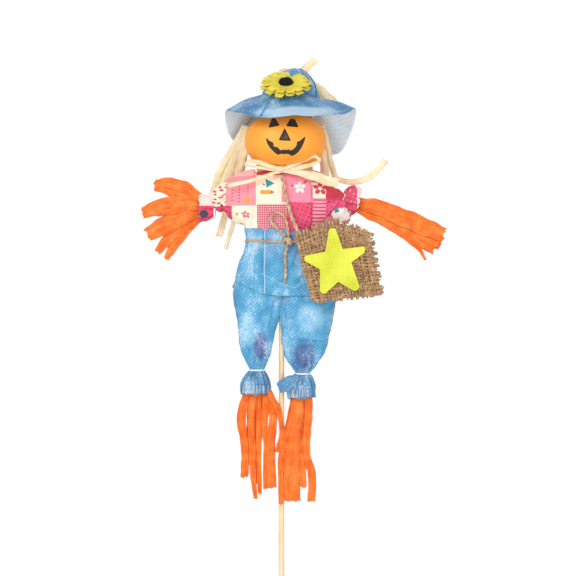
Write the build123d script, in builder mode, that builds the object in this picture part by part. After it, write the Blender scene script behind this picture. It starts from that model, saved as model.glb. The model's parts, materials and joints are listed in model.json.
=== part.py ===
from build123d import *
import os
from math import cos, pi, radians, sin

# Scarecrow decoration on a bamboo stick, in millimetres.
# Origin: centre of the stick's lower end. +Z runs up the stick, and the figure faces -Y.
# Left and right are as seen from the front, so left is -X.

# --- Driving dimensions -------------------------------------------------------------------
STICK_R = 2.25            # bamboo stick, true round over the length that goes into the soil
STAKE_LENGTH = 127.0      # that round length, clear of everything that hangs above it
STICK_TOP = 438.0         # the stick ends inside the head
STICK_TOP_R = 2.1         # natural taper of the bamboo towards its top
END_CHAMFER = 0.4

BAR_R = 1.75              # crossbar that carries the sleeves
BAR_END_GAP = 5.8         # the bar stops this far short of each wrist tie

WRIST_Y = STICK_R + BAR_R  # the bar lies against the back of the stick
WRIST_LEFT = (-53.5, WRIST_Y, 376.1)
WRIST_RIGHT = (49.8, WRIST_Y, 386.5)
ANKLE_LEFT = (-19.7, -1.5, 248.6)
ANKLE_RIGHT = (16.8, -1.5, 245.8)

HEAD_CENTRE = (2.4, 0.0, 431.4)
HEAD_RADIUS = 32.0        # half width of the flattened ball
HEAD_HALF_HEIGHT = 22.2

HAT_CENTRE = (7.2, 3.0, 464.6)   # middle of the ring where crown and brim are sewn together
HAT_UP = (0.10, 0.20, 0.975)     # the hat leans back and a little to the right
HAT_RING_R = 23.6
BRIM_REACH = 28.5                # brim from the ring to its edge, seen from above
BRIM_DROP = 27.0
CLOTH = 0.8                      # thickness that stands for sewn cloth

TORSO_X = 1.0                    # middle of the torso
WAIST_Z = 360.6                  # the trousers' top edge
BELT_Z = 351.4
HIP_Z = 297.0                    # line that the legs swing about
KNUCKLE_R = 8.0                  # rounded top of each leg
HIPS_BOTTOM_Z = HIP_Z + KNUCKLE_R + 0.5
LEG_Y = -1.5
JOINT_BALL_R = 5.0               # gathered cloth at a wrist or an ankle
JOINT_GAP = 0.4

TIE_R = 0.7                      # white elastic thread
BELT_TWINE = 2.4                 # jute twine diameters
STRAP_TWINE = 3.2

BAG_BACK_Y = -18.0               # the bag hangs in front of the right hip
BURLAP = 1.2
FELT = 1.5
STAR_R = 26.8
STAR_INNER_R = 13.9
STAR_CENTRE = (42.8, 333.3)      # X and Z
STAR_TURN = 6.7                  # degrees

FLOWER_CENTRE = (3.4, -19.0, 474.2)
FLOWER_R = 20.5
FLOWER_FACES = (0.0, -0.574, 0.819)
PETALS = 16

os.makedirs("parts", exist_ok=True)


def save(part, name):
    """Label a finished piece and write its STEP file."""
    part.label = name
    export_step(part, f"parts/{name}.step")


def unit(vector):
    return Vector(*vector).normalized()


def along(origin, direction):
    """Plane at origin whose normal is direction, with its x axis kept level."""
    up = unit(direction)
    level = Vector(0, 1, 0) if abs(up.Y) < 0.9 else Vector(1, 0, 0)
    return Plane(origin=origin, x_dir=level.cross(up), z_dir=up)


def tube(points, diameter, radius):
    """Round cord along straight runs joined by tangent arcs."""
    with BuildPart() as cord:
        with BuildLine() as route:
            FilletPolyline(*points, radius=radius)
        with BuildSketch(Plane(origin=route.wire() @ 0, z_dir=route.wire() % 0)):
            Circle(diameter / 2)
        sweep()
    return cord.part


def ellipsoid(centre, half_x, half_y, half_z):
    with BuildPart() as ball:
        Sphere(1.0)
        scale(by=(half_x, half_y, half_z))
    return ball.part.moved(Location(centre))


def bend_radii(points):
    """The largest arc that each corner leaves room for: 0.45 of its shorter run over tan of half the turn."""
    vectors = [Vector(*p) for p in points]
    radii = []
    for before, here, after in zip(vectors, vectors[1:], vectors[2:]):
        turn = (here - before).get_angle(after - here)
        shorter = min((here - before).length, (after - here).length)
        half = radians(turn) / 2
        radii.append(0.45 * shorter * cos(half) / sin(half))
    return radii


def cord_node(name, points, diameter):
    radii = bend_radii(points)
    part = tube(points, diameter, radii)
    with BuildLine() as route:
        FilletPolyline(*points, radius=radii)
    length = route.wire().length
    ideal = length * pi * diameter**2 / 4
    print(name, "length", round(length, 1), "radii", [round(r, 1) for r in radii],
          "volume share", round(part.volume / ideal, 3))
    save(part, name)
    return part


# --- Sticks -------------------------------------------------------------------------------
with BuildPart() as stick:
    with BuildSketch(Plane.XZ) as stick_profile:
        with BuildLine():
            Polyline((0, 0), (STICK_R - END_CHAMFER, 0), (STICK_R, END_CHAMFER),
                     (STICK_R, STAKE_LENGTH), (STICK_TOP_R, STICK_TOP), (0, STICK_TOP), close=True)
        make_face()
    revolve(axis=Axis.Z)
save(stick.part, "stick")

bar_vector = Vector(*WRIST_RIGHT) - Vector(*WRIST_LEFT)
bar_way = bar_vector.normalized()
bar_start = Vector(*WRIST_LEFT) + bar_way * BAR_END_GAP
BAR_LENGTH = bar_vector.length - 2 * BAR_END_GAP
with BuildPart() as crossbar:
    with BuildSketch(along(bar_start, bar_way)):
        Circle(BAR_R)
    extrude(amount=BAR_LENGTH)
save(crossbar.part, "crossbar")

# The two sticks are lashed with wire that crosses over them both ways.
CROSSING_Z = WRIST_LEFT[2] - bar_way.Z / bar_way.X * WRIST_LEFT[0]
LASHING_W = 2.4
LASHING_T = 0.7
with BuildPart() as lashing:
    for lean in (-45, 45):
        loop_plane = Plane(origin=(0, WRIST_Y / 2, CROSSING_Z), x_dir=(0, 1, 0),
                           z_dir=(sin(radians(lean)), 0, cos(radians(lean))))
        inner_long = 2 * (STICK_R + BAR_R) + 1.4
        inner_wide = 2 * STICK_R / cos(radians(lean)) + 0.4
        with BuildSketch(loop_plane):
            RectangleRounded(inner_long + 2 * LASHING_T, inner_wide + 2 * LASHING_T, 2.6)
            RectangleRounded(inner_long, inner_wide, 1.9, mode=Mode.SUBTRACT)
        extrude(amount=LASHING_W / 2, both=True)
    add(stick.part, mode=Mode.SUBTRACT)
    add(crossbar.part, mode=Mode.SUBTRACT)
save(lashing.part, "crossbar_lashing")

# --- Head ---------------------------------------------------------------------------------
head_ball = ellipsoid(HEAD_CENTRE, HEAD_RADIUS, HEAD_RADIUS, HEAD_HALF_HEIGHT)
with BuildPart() as head:
    add(head_ball)
    add(stick.part, mode=Mode.SUBTRACT)
save(head.part, "head")

# --- Hat ----------------------------------------------------------------------------------
hat_plane = along(HAT_CENTRE, HAT_UP)
hat_section = Plane(origin=HAT_CENTRE, x_dir=hat_plane.x_dir, z_dir=-hat_plane.y_dir)
hat_axis = Axis(HAT_CENTRE, HAT_UP)
CROWN_HEIGHT = 25.0
with BuildPart() as crown_outer:
    with BuildSketch(hat_section):
        with BuildLine():
            Polyline((0, CROWN_HEIGHT), (0, 0), (HAT_RING_R, 0))
            Bezier((HAT_RING_R, 0), (0.78 * HAT_RING_R, 0.5 * CROWN_HEIGHT),
                   (0.45 * HAT_RING_R, CROWN_HEIGHT), (0, CROWN_HEIGHT))
        make_face()
    revolve(axis=hat_axis)
with BuildPart() as crown:
    add(crown_outer.part)
    with BuildSketch(hat_section):
        inner_r = HAT_RING_R - CLOTH
        inner_h = CROWN_HEIGHT - CLOTH
        with BuildLine():
            Polyline((0, inner_h), (0, 0), (inner_r, 0))
            Bezier((inner_r, 0), (0.78 * inner_r, 0.5 * inner_h),
                   (0.45 * inner_r, inner_h), (0, inner_h))
        make_face()
    revolve(axis=hat_axis, mode=Mode.SUBTRACT)
save(crown.part, "hat_crown")

brim_edge = (HAT_RING_R + BRIM_REACH, -BRIM_DROP)
with BuildPart() as brim:
    with BuildSketch(hat_section):
        with BuildLine():
            Polyline((HAT_RING_R - CLOTH, 0), (HAT_RING_R, 0), brim_edge,
                     (brim_edge[0] - CLOTH, brim_edge[1]), (HAT_RING_R - CLOTH, -CLOTH), close=True)
        make_face()
    revolve(axis=hat_axis)
save(brim.part, "hat_brim")

# --- Raffia hair --------------------------------------------------------------------------
PAD_R = 20.0
with BuildPart() as hair_pad:
    with BuildSketch(hat_plane.offset(-14.0)):
        Circle(PAD_R)
    extrude(amount=13.5)
    add(head_ball, mode=Mode.SUBTRACT)
save(hair_pad.part, "hair_pad")


def strip_stack(sections):
    """Lock of raffia lofted through level rectangles, each given as (x, y, z, width, thickness)."""
    with BuildPart() as lock:
        for x, y, z, width, thick in sections:
            with BuildSketch(Plane(origin=(x, y, z))):
                Rectangle(width, thick)
        loft(ruled=True)
    return lock.part


with BuildPart() as hair_left:
    add(strip_stack([(-34, 9, 441, 8, 5), (-45, 12, 412, 20, 6), (-52, 16, 388, 18, 5),
                     (-46, 18, 350, 14, 4)]))
    add(head_ball, mode=Mode.SUBTRACT)
save(hair_left.part, "hair_left")

with BuildPart() as hair_right:
    add(strip_stack([(36, 9, 436, 8, 5), (41, 13, 408, 14, 5), (47, 19, 396, 14, 4)]))
    add(head_ball, mode=Mode.SUBTRACT)
save(hair_right.part, "hair_right")

with BuildPart() as hair_back:
    add(strip_stack([(3, 31, 444, 34, 3), (3, 34, 420, 40, 3), (2, 30, 372, 36, 3)]))
    add(head_ball, mode=Mode.SUBTRACT)
save(hair_back.part, "hair_back")

# A tuft comes out of the crown's top seam, and one wide strip falls over the back of the brim.
with BuildPart() as hair_top:
    add(strip_stack([(14, 9, 489.0, 5, 2), (20, 10, 493, 6, 2), (28, 11, 500, 7, 2)]))
    add(strip_stack([(24, 20, 482, 8, 2), (40, 24, 470, 9, 2), (52, 25, 457, 8, 2)]))
    add(crown_outer.part, mode=Mode.SUBTRACT)
    add(brim.part, mode=Mode.SUBTRACT)
save(hair_top.part, "hair_top")

# --- Sunflower ----------------------------------------------------------------------------
flower_plane = along(FLOWER_CENTRE, FLOWER_FACES)
FLOWER_EYE_R = 5.5
PETAL_T = 1.0
with BuildPart() as flower_petals:
    with BuildSketch(flower_plane):
        Circle(0.45 * FLOWER_R)
        petal_mid = 0.62 * FLOWER_R
        with PolarLocations(petal_mid, PETALS):
            Ellipse(FLOWER_R - petal_mid, 0.15 * FLOWER_R)
    extrude(amount=PETAL_T)
    add(crown_outer.part, mode=Mode.SUBTRACT)
save(flower_petals.part, "flower_petals")

with BuildPart() as flower_centre:
    with BuildSketch(flower_plane.offset(PETAL_T)):
        Circle(FLOWER_EYE_R)
    extrude(amount=3.0)
    fillet(flower_centre.faces().sort_by(Axis(FLOWER_CENTRE, FLOWER_FACES))[-1].edges(), 2.0)
save(flower_centre.part, "flower_centre")

with BuildPart() as flower_hub:
    with BuildSketch(flower_plane):
        Circle(4.0)
    extrude(amount=-9.0)
    add(crown_outer.part, mode=Mode.SUBTRACT)
    add(brim.part, mode=Mode.SUBTRACT)
hub = flower_hub.solids().sort_by(Axis(FLOWER_CENTRE, FLOWER_FACES))[-1]
save(hub, "flower_hub")


# --- Shirt --------------------------------------------------------------------------------
def slot_loft(sections, shrink=0.0):
    """Loft through level flattened rounds, each given as (x, y, z, half width, half thickness)."""
    with BuildPart() as solid:
        for x, y, z, half_w, half_t in sections:
            with BuildSketch(Plane(origin=(x, y, z))):
                Ellipse(half_w - shrink, half_t - shrink)
        loft()
    return solid.part


TORSO_TOP_Z = 406.6
torso_sections = [
    (TORSO_X, 0, WAIST_Z, 30.0, 10.0),
    (TORSO_X, 0, 375.0, 33.5, 11.0),
    (TORSO_X, 0, 390.0, 34.0, 12.5),
    (TORSO_X, 0, 400.0, 26.0, 11.0),
    (TORSO_X, 0, TORSO_TOP_Z, 12.0, 8.0),
]
torso_outer = slot_loft(torso_sections)
wadding_sections = [
    (x, y, min(max(z, WAIST_Z + CLOTH), TORSO_TOP_Z - CLOTH), w, t) for x, y, z, w, t in torso_sections
]
torso_inner = slot_loft(wadding_sections, CLOTH)

with BuildPart() as shirt_torso:
    add(torso_outer)
    add(torso_inner, mode=Mode.SUBTRACT)
    add(stick.part, mode=Mode.SUBTRACT)
    add(crossbar.part, mode=Mode.SUBTRACT)
save(shirt_torso.part, "shirt_torso")

with BuildPart() as wadding:
    add(torso_inner)
    add(stick.part, mode=Mode.SUBTRACT)
    add(crossbar.part, mode=Mode.SUBTRACT)
    add(lashing.part, mode=Mode.SUBTRACT)
save(wadding.part, "torso_wadding")


def sleeve(wrist, side):
    """Sleeve from inside the torso to the gathered wrist; side is -1 at the left and 1 at the right."""
    way = bar_way * side
    end = Vector(*wrist) - way * (JOINT_BALL_R + JOINT_GAP)
    with BuildPart() as arm:
        with BuildSketch(along(Vector(*wrist) - way * 30.0 + Vector(0, -WRIST_Y * 0.7, 1.0), way)):
            Ellipse(17.0, 9.0)
        with BuildSketch(along(Vector(*wrist) - way * 16.0 + Vector(0, -WRIST_Y * 0.3, 0.5), way)):
            Ellipse(12.0, 7.5)
        with BuildSketch(along(end, way)):
            Ellipse(5.6, 5.4)
        loft()
        add(torso_outer, mode=Mode.SUBTRACT)
        add(crossbar.part, mode=Mode.SUBTRACT)
    return arm.part


sleeve_left = sleeve(WRIST_LEFT, -1)
sleeve_right = sleeve(WRIST_RIGHT, 1)
save(sleeve_left, "sleeve_left")
save(sleeve_right, "sleeve_right")

# --- Neck bow of raffia -------------------------------------------------------------------
NECK_Z = 408.2
with BuildPart() as neck_wrap:
    with BuildSketch(Plane(origin=(TORSO_X + 7.0, 0, NECK_Z), x_dir=(1, 0, 0), z_dir=(0, -1, 0))):
        Circle(1.4)
    revolve(axis=Axis((TORSO_X, 0, 0), (0, 0, 1)))
    add(head_ball, mode=Mode.SUBTRACT)
    add(torso_outer, mode=Mode.SUBTRACT)
save(neck_wrap.part, "neck_wrap")

KNOT = (0.0, -12.5, 407.6)
with BuildPart() as bow_knot:
    with Locations(KNOT):
        Box(6.0, 8.0, 5.6)
    fillet(bow_knot.edges(), 1.6)
    add(head_ball, mode=Mode.SUBTRACT)
    add(torso_outer, mode=Mode.SUBTRACT)
    add(neck_wrap.part, mode=Mode.SUBTRACT)
save(bow_knot.part, "neck_bow_knot")


def ribbon(start, end, start_w, end_w, thick):
    """Flat ribbon between two points, its width held upright."""
    way = Vector(*end) - Vector(*start)
    with BuildPart() as strip:
        with BuildSketch(along(Vector(*start), way)):
            Rectangle(start_w, thick)
        with BuildSketch(along(Vector(*end), way)):
            Rectangle(end_w, thick)
        loft(ruled=True)
        add(head_ball, mode=Mode.SUBTRACT)
        add(bow_knot.part, mode=Mode.SUBTRACT)
        add(torso_outer, mode=Mode.SUBTRACT)
    return strip.part


with BuildPart() as bow_loops:
    add(ribbon((-3.2, -17.5, 409), (-28.4, -19.0, 411.5), 3.0, 7.0, 3.0))
    add(ribbon((3.2, -17.5, 409), (30.0, -19.0, 414.5), 3.0, 7.0, 3.0))
save(bow_loops.part, "neck_bow_loops")

with BuildPart() as bow_tails:
    add(ribbon((-3.2, -15.6, 406.0), (-42.3, -15.0, 396.0), 2.5, 3.0, 1.0))
    add(ribbon((3.2, -15.6, 406.0), (44.4, -15.0, 397.5), 3.5, 8.0, 1.0))
save(bow_tails.part, "neck_bow_tails")

# --- Trousers -----------------------------------------------------------------------------
hip_sections = [(0.5, WAIST_Z, 29.5, 10.0), (0.0, BELT_Z, 28.0, 9.6), (0.8, 335.0, 34.0, 10.0),
                (2.4, 316.0, 41.5, 10.2), (2.5, HIPS_BOTTOM_Z, 41.5, 9.6)]
with BuildPart() as hips:
    for x, z, half_w, half_t in hip_sections:
        with BuildSketch(Plane(origin=(x, 0, z))):
            SlotOverall(2 * half_w, 2 * half_t)
    loft()
    add(stick.part, mode=Mode.SUBTRACT)
save(hips.part, "trousers_hips")


def leg(sections):
    """Leg with a rounded top that turns about the hip line.

    Sections are (x, z, half width, half thickness).
    """
    top_x, _, top_w, _ = sections[0]
    hip = (top_x, LEG_Y, HIP_Z)
    with BuildPart() as limb:
        for x, z, half_w, half_t in sections:
            with BuildSketch(Plane(origin=(x, LEG_Y, z))):
                Ellipse(half_w, half_t)
        loft()
        add(ellipsoid(hip, top_w + KNUCKLE_PROUD, KNUCKLE_R, KNUCKLE_R))
    return limb.part


KNUCKLE_PROUD = 0.2       # the rounded top stands this far outside the leg below it
LEG_T = KNUCKLE_R - KNUCKLE_PROUD
ANKLE_REACH = JOINT_BALL_R + JOINT_GAP
left_leg = leg([(-20.8, HIP_Z, 17.7, LEG_T), (-20.5, 285.0, 17.0, LEG_T), (-20.1, 270.0, 13.6, 7.5),
                (-19.8, 259.0, 9.4, 7.0), (ANKLE_LEFT[0], ANKLE_LEFT[2] + ANKLE_REACH, 6.2, 5.6)])
right_leg = leg([(23.2, HIP_Z, 20.1, LEG_T), (21.9, 285.0, 19.0, LEG_T), (20.2, 270.0, 17.2, 7.6),
                 (18.0, 257.0, 13.0, 7.2), (ANKLE_RIGHT[0], ANKLE_RIGHT[2] + ANKLE_REACH, 6.4, 5.6)])
save(left_leg, "trouser_leg_left")
save(right_leg, "trouser_leg_right")


# --- Gathered ends: tie, cuff and paper strips --------------------------------------------
def end_frame(centre, way):
    """Plane at a wrist or ankle tie, looking out along the limb, with its y axis front to back."""
    out = unit(way)
    return Plane(origin=centre, x_dir=Vector(0, 1, 0).cross(out), z_dir=out)


def tie_ring(frame):
    with BuildPart() as ring:
        with BuildSketch(Plane(origin=frame.origin, x_dir=frame.x_dir, z_dir=frame.y_dir)):
            with Locations((JOINT_BALL_R + TIE_R, 0)):
                Circle(TIE_R)
        revolve(axis=Axis(frame.origin, frame.z_dir))
    return ring.part


def flare(frame, length, half_w, half_t, shrink):
    """Skirt of cloth that opens from the gathered ball to an oval rim."""
    with BuildPart() as skirt:
        with BuildSketch(frame):
            Circle(JOINT_BALL_R - shrink)
        with BuildSketch(frame.offset(0.5 * length)):
            Ellipse(0.8 * half_w - shrink, 0.9 * half_t - shrink)
        with BuildSketch(frame.offset(length)):
            Ellipse(half_w - shrink, half_t - shrink)
        loft()
    return skirt.part


def cuff(frame, length, half_w, half_t):
    with BuildPart() as shell:
        with Locations(frame):
            Sphere(JOINT_BALL_R)
        add(flare(frame, length, half_w, half_t, 0.0))
        add(flare(frame, length, half_w, half_t, CLOTH), mode=Mode.SUBTRACT)
        add(tie_ring(frame), mode=Mode.SUBTRACT)
    return shell.part


def tassel(frame, cuff_length, half_w, half_t, strips, shell):
    """Bunch of paper strips that starts in the cuff.

    Strips are (across, depth, lean in degrees, width, length).
    """
    with BuildPart() as bunch:
        add(flare(frame, cuff_length, half_w, half_t, CLOTH))
        for across, depth, lean, width, length in strips:
            root = frame.offset(cuff_length - 2.0)
            start = root.from_local_coords((across, depth, 0))
            way = root.z_dir * cos(radians(lean)) + root.x_dir * sin(radians(lean))
            with BuildSketch(Plane(origin=start, x_dir=root.y_dir.cross(way), z_dir=way)):
                Rectangle(width, STRIP_T)
            extrude(amount=length + 2.0)
        add(shell, mode=Mode.SUBTRACT)
    return bunch.part


STRIP_T = 1.6
# Each frame's x axis lies across the limb: towards -X at the ankles, up at the left wrist and
# down at the right one.
left_ankle = end_frame(ANKLE_LEFT, (0, 0, -1))
right_ankle = end_frame(ANKLE_RIGHT, (0, 0, -1))
left_wrist = end_frame(WRIST_LEFT, (-0.997, 0, 0.07))
right_wrist = end_frame(WRIST_RIGHT, (0.912, 0, -0.41))

FOOT_STRIPS_LEFT = [(8.0, -1.5, 2, 5.0, 58), (3.0, 1.8, 0, 5.5, 85), (-2.5, -1.8, -1, 5.5, 76),
                    (-7.0, 1.5, -4.5, 4.5, 75)]
FOOT_STRIPS_RIGHT = [(-6.0, -1.5, -1.5, 6.0, 81), (0.0, 1.8, 0, 6.0, 84), (4.5, -1.8, 1.5, 5.5, 72),
                     (7.0, 1.5, 3, 4.0, 84)]
HAND_STRIPS_LEFT = [(-5.5, 0, -40, 6.0, 38), (-4.0, 1.6, -20, 6.0, 48), (0.0, -1.6, -4, 6.0, 48),
                    (4.0, 1.6, 12, 6.0, 46), (6.0, 0, 27, 8.0, 38)]
HAND_STRIPS_RIGHT = [(-6.0, -1.2, -6, 6.0, 66), (-2.0, 1.2, -2, 6.0, 72), (2.0, -1.2, 2, 6.0, 74),
                     (6.0, 1.2, 5, 6.0, 72)]

limb_ends = {
    "ankle_left": (left_ankle, 18.4, 12.1, 6.5, FOOT_STRIPS_LEFT),
    "ankle_right": (right_ankle, 18.8, 10.8, 6.5, FOOT_STRIPS_RIGHT),
    "wrist_left": (left_wrist, 13.0, 10.2, 6.0, HAND_STRIPS_LEFT),
    "wrist_right": (right_wrist, 14.0, 9.6, 6.0, HAND_STRIPS_RIGHT),
}
CUFF_NAMES = {"ankle_left": "trouser_cuff_left", "ankle_right": "trouser_cuff_right",
              "wrist_left": "sleeve_cuff_left", "wrist_right": "sleeve_cuff_right"}
STRIP_NAMES = {"ankle_left": "foot_strips_left", "ankle_right": "foot_strips_right",
               "wrist_left": "hand_strips_left", "wrist_right": "hand_strips_right"}
for place, (frame, length, half_w, half_t, strips) in limb_ends.items():
    joint, side = place.split("_")
    save(tie_ring(frame), f"{joint}_tie_{side}")
    shell = cuff(frame, length, half_w, half_t)
    save(shell, CUFF_NAMES[place])
    save(tassel(frame, length, half_w, half_t, strips, shell), STRIP_NAMES[place])

# --- Jute twine: belt and bag strap -------------------------------------------------------
belt_flat = 28.0 - 9.6                 # half of the straight run round the waist
belt_bend = 9.6 + BELT_TWINE / 2 + 0.05
KNOT_X = 5.0
with BuildPart() as belt_twine:
    with BuildLine() as belt_route:
        Line((KNOT_X + 2.0, -belt_bend, BELT_Z), (belt_flat, -belt_bend, BELT_Z))
        RadiusArc((belt_flat, -belt_bend, BELT_Z), (belt_flat, belt_bend, BELT_Z), -belt_bend)
        Line((belt_flat, belt_bend, BELT_Z), (-belt_flat, belt_bend, BELT_Z))
        RadiusArc((-belt_flat, belt_bend, BELT_Z), (-belt_flat, -belt_bend, BELT_Z), -belt_bend)
        Line((-belt_flat, -belt_bend, BELT_Z), (KNOT_X - 2.0, -belt_bend, BELT_Z))
    with BuildSketch(Plane(origin=belt_route.wire() @ 0, z_dir=belt_route.wire() % 0)):
        Circle(BELT_TWINE / 2)
    sweep()
    add(hips.part, mode=Mode.SUBTRACT)

with BuildPart() as belt_knot:
    with Locations((KNOT_X, -12.1, BELT_Z)):
        Box(7.0, 4.6, 6.0)
    fillet(belt_knot.edges(), 2.0)
    add(hips.part, mode=Mode.SUBTRACT)
    add(belt_twine.part, mode=Mode.SUBTRACT)
save(belt_twine.part, "belt_twine")
save(belt_knot.part, "belt_knot")

BOW_Y = -12.9
BELT_LOOP = [(3.0, BOW_Y, 354.9), (-1.0, -13.1, 359.5), (-6.6, -13.1, 364.6), (-9.3, -13.2, 369.0),
             (-6.6, -13.2, 373.4), (-1.2, -13.2, 373.9), (2.9, -13.2, 370.2), (4.9, -13.1, 363.6),
             (5.6, BOW_Y, 355.2)]
BELT_TAIL = [(5.0, BOW_Y, 348.0), (3.4, -13.2, 343.0), (2.6, -12.8, 336.5), (3.6, -12.4, 329.5),
             (3.0, -12.2, 321.3)]
cord_node("belt_bow_loop", BELT_LOOP, BELT_TWINE)
cord_node("belt_tail", BELT_TAIL, BELT_TWINE)

STRAP_Y = BAG_BACK_Y + STRAP_TWINE / 2   # the strap lies against the bag's back
STRAP_FRONT = [(0.2, STRAP_Y, 403.4), (2.2, STRAP_Y, 392.0), (6.0, STRAP_Y, 376.0), (11.6, STRAP_Y, 362.0),
               (15.6, STRAP_Y, 353.0)]
STRAP_REAR = [(6.5, 12.5, 404.6), (22.0, 16.6, 397.6), (43.0, 17.4, 388.6), (54.6, 13.8, 378.0),
              (54.6, 6.0, 368.6), (49.6, -6.4, 364.0), (43.6, STRAP_Y, 362.6)]
cord_node("strap_front", STRAP_FRONT, STRAP_TWINE)
cord_node("strap_rear", STRAP_REAR, STRAP_TWINE)

# --- Burlap bag with a felt star ----------------------------------------------------------
BAG_OUTLINE = [(13.2, 354.2), (43.6, 364.4), (68.4, 358.6), (77.5, 309.4), (25.5, 304.2)]


def bag_panel(back_y):
    """Flat burlap square; its back face is at back_y and it grows towards the front."""
    with BuildPart() as panel:
        with BuildSketch(Plane(origin=(0, back_y, 0), x_dir=(1, 0, 0), z_dir=(0, -1, 0))):
            with BuildLine():
                Polyline(*BAG_OUTLINE, close=True)
            make_face()
        extrude(amount=BURLAP)
    return panel.part


save(bag_panel(BAG_BACK_Y), "bag_back")
save(bag_panel(BAG_BACK_Y - BURLAP), "bag_front")
bag_face_y = BAG_BACK_Y - 2 * BURLAP

with BuildPart() as star:
    star_origin = (STAR_CENTRE[0], bag_face_y, STAR_CENTRE[1])
    with BuildSketch(Plane(origin=star_origin, x_dir=(1, 0, 0), z_dir=(0, -1, 0))):
        points = []
        for i in range(10):
            reach = STAR_R if i % 2 == 0 else STAR_INNER_R
            angle = radians(90 + STAR_TURN + 36 * i)
            points.append((reach * cos(angle), reach * sin(angle)))
        with BuildLine():
            Polyline(*points, close=True)
        make_face()
    extrude(amount=FELT)
save(star.part, "felt_star")

# Running stitches of dark yarn hold the two squares together along three sides.
STITCH = 4.2
STITCH_GAP = 2.6
STITCH_T = 0.8
stitch_lines = [((18.6, 349.0), (27.6, 309.4)), ((31.0, 309.2), (70.2, 313.4)), ((71.4, 316.8), (65.2, 353.0))]
with BuildPart() as stitches:
    for (x0, z0), (x1, z1) in stitch_lines:
        run = Vector(x1 - x0, z1 - z0)
        count = int(run.length // (STITCH + STITCH_GAP))
        way = run.normalized()
        for i in range(count):
            middle = Vector(x0, z0) + way * ((i + 0.5) * run.length / count)
            origin = (middle.X, bag_face_y, middle.Y)
            with BuildSketch(Plane(origin=origin, x_dir=(way.X, 0, way.Y), z_dir=(0, -1, 0))):
                SlotOverall(STITCH, STITCH_T)
            extrude(amount=0.5)
    add(star.part, mode=Mode.SUBTRACT)
save(stitches.part, "bag_stitches")
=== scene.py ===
"""Looks of a scarecrow decoration on a bamboo stick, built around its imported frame.

Places and sizes are in millimetres in the classes below and become metres when a mesh is made.
The figure faces -Y; left and right are as seen from the front, so left is -X.
"""
from __future__ import annotations

import json
import logging
import math
from dataclasses import dataclass
from enum import Enum
from functools import cache
from typing import Callable, Iterable, Sequence

import bpy
import numpy as np
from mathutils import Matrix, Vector, noise

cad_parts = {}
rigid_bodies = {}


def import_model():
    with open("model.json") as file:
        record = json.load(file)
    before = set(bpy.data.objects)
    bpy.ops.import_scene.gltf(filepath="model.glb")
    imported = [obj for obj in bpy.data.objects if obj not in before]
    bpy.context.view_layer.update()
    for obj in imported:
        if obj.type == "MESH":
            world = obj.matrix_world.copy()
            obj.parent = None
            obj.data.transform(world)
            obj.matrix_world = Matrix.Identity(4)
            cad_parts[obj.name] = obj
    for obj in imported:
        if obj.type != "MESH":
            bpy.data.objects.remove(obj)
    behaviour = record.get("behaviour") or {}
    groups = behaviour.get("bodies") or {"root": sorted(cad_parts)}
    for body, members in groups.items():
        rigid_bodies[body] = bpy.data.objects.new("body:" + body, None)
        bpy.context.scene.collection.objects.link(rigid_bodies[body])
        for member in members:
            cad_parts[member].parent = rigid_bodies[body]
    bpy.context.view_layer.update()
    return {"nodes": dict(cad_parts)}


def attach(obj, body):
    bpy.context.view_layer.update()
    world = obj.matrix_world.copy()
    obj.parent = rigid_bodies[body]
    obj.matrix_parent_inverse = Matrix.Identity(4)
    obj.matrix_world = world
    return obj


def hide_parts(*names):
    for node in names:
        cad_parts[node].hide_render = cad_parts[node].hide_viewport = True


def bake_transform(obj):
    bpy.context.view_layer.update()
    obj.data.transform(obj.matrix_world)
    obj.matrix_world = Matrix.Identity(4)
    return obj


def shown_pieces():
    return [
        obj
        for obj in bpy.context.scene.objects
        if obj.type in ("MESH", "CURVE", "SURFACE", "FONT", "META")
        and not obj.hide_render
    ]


LOG = logging.getLogger("scarecrow")
MM = 0.001
UV_PER_MM = 0.1          # one unit of a cloth's UV map is 10 mm of the cloth
STICK_CLEARANCE = 3.0    # cloth in front of the stick stays this far from its middle
TWILL_TURN = 52.0        # the slope of denim's diagonal lines, in degrees
Point = tuple[float, float, float]
Node = bpy.types.Node
Socket = bpy.types.NodeSocket
Tree = bpy.types.NodeTree
Piece = bpy.types.Object
Spot = tuple[float, float]
Strip = tuple[tuple[Point, ...], tuple[float, ...]]
FRONT: Point = (0.0, -1.0, 0.0)
TWINE_LEAN: Point = (0.2, -0.9, 0.3)   # the way that a twine's first strand lies from its middle


# --- Small tools --------------------------------------------------------------------------
def linear(code: str) -> tuple[float, float, float, float]:
    """Turn an sRGB hex value into a linear colour.

    Args:
        code: six hex digits after a hash sign.
    Returns:
        Red, green, blue and alpha.
    """
    parts = (int(code[i : i + 2], 16) / 255 for i in (1, 3, 5))
    red, green, blue = (c / 12.92 if c <= 0.04045 else ((c + 0.055) / 1.055) ** 2.4 for c in parts)
    return red, green, blue, 1.0


def add_node(tree: Tree, kind: str, inputs: dict | None = None, **settings: object) -> Node:
    """Add one shader node with its settings and links.

    Args:
        tree: the material's node tree.
        kind: the node's type name, without its family.
        inputs: socket name or number to a value, or to the socket that feeds it.
        settings: the node's own properties.
    Returns:
        The new node.
    """
    node = tree.nodes.new("ShaderNode" + kind)
    for name, value in settings.items():
        setattr(node, name, value)
    for key, value in (inputs or {}).items():
        if isinstance(value, Socket):
            tree.links.new(value, node.inputs[key])
        else:
            node.inputs[key].default_value = value
    return node


def only(piece: Piece) -> None:
    """Make a piece the only selected and the active one."""
    bpy.ops.object.select_all(action="DESELECT")
    piece.select_set(True)
    bpy.context.view_layer.objects.active = piece


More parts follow.
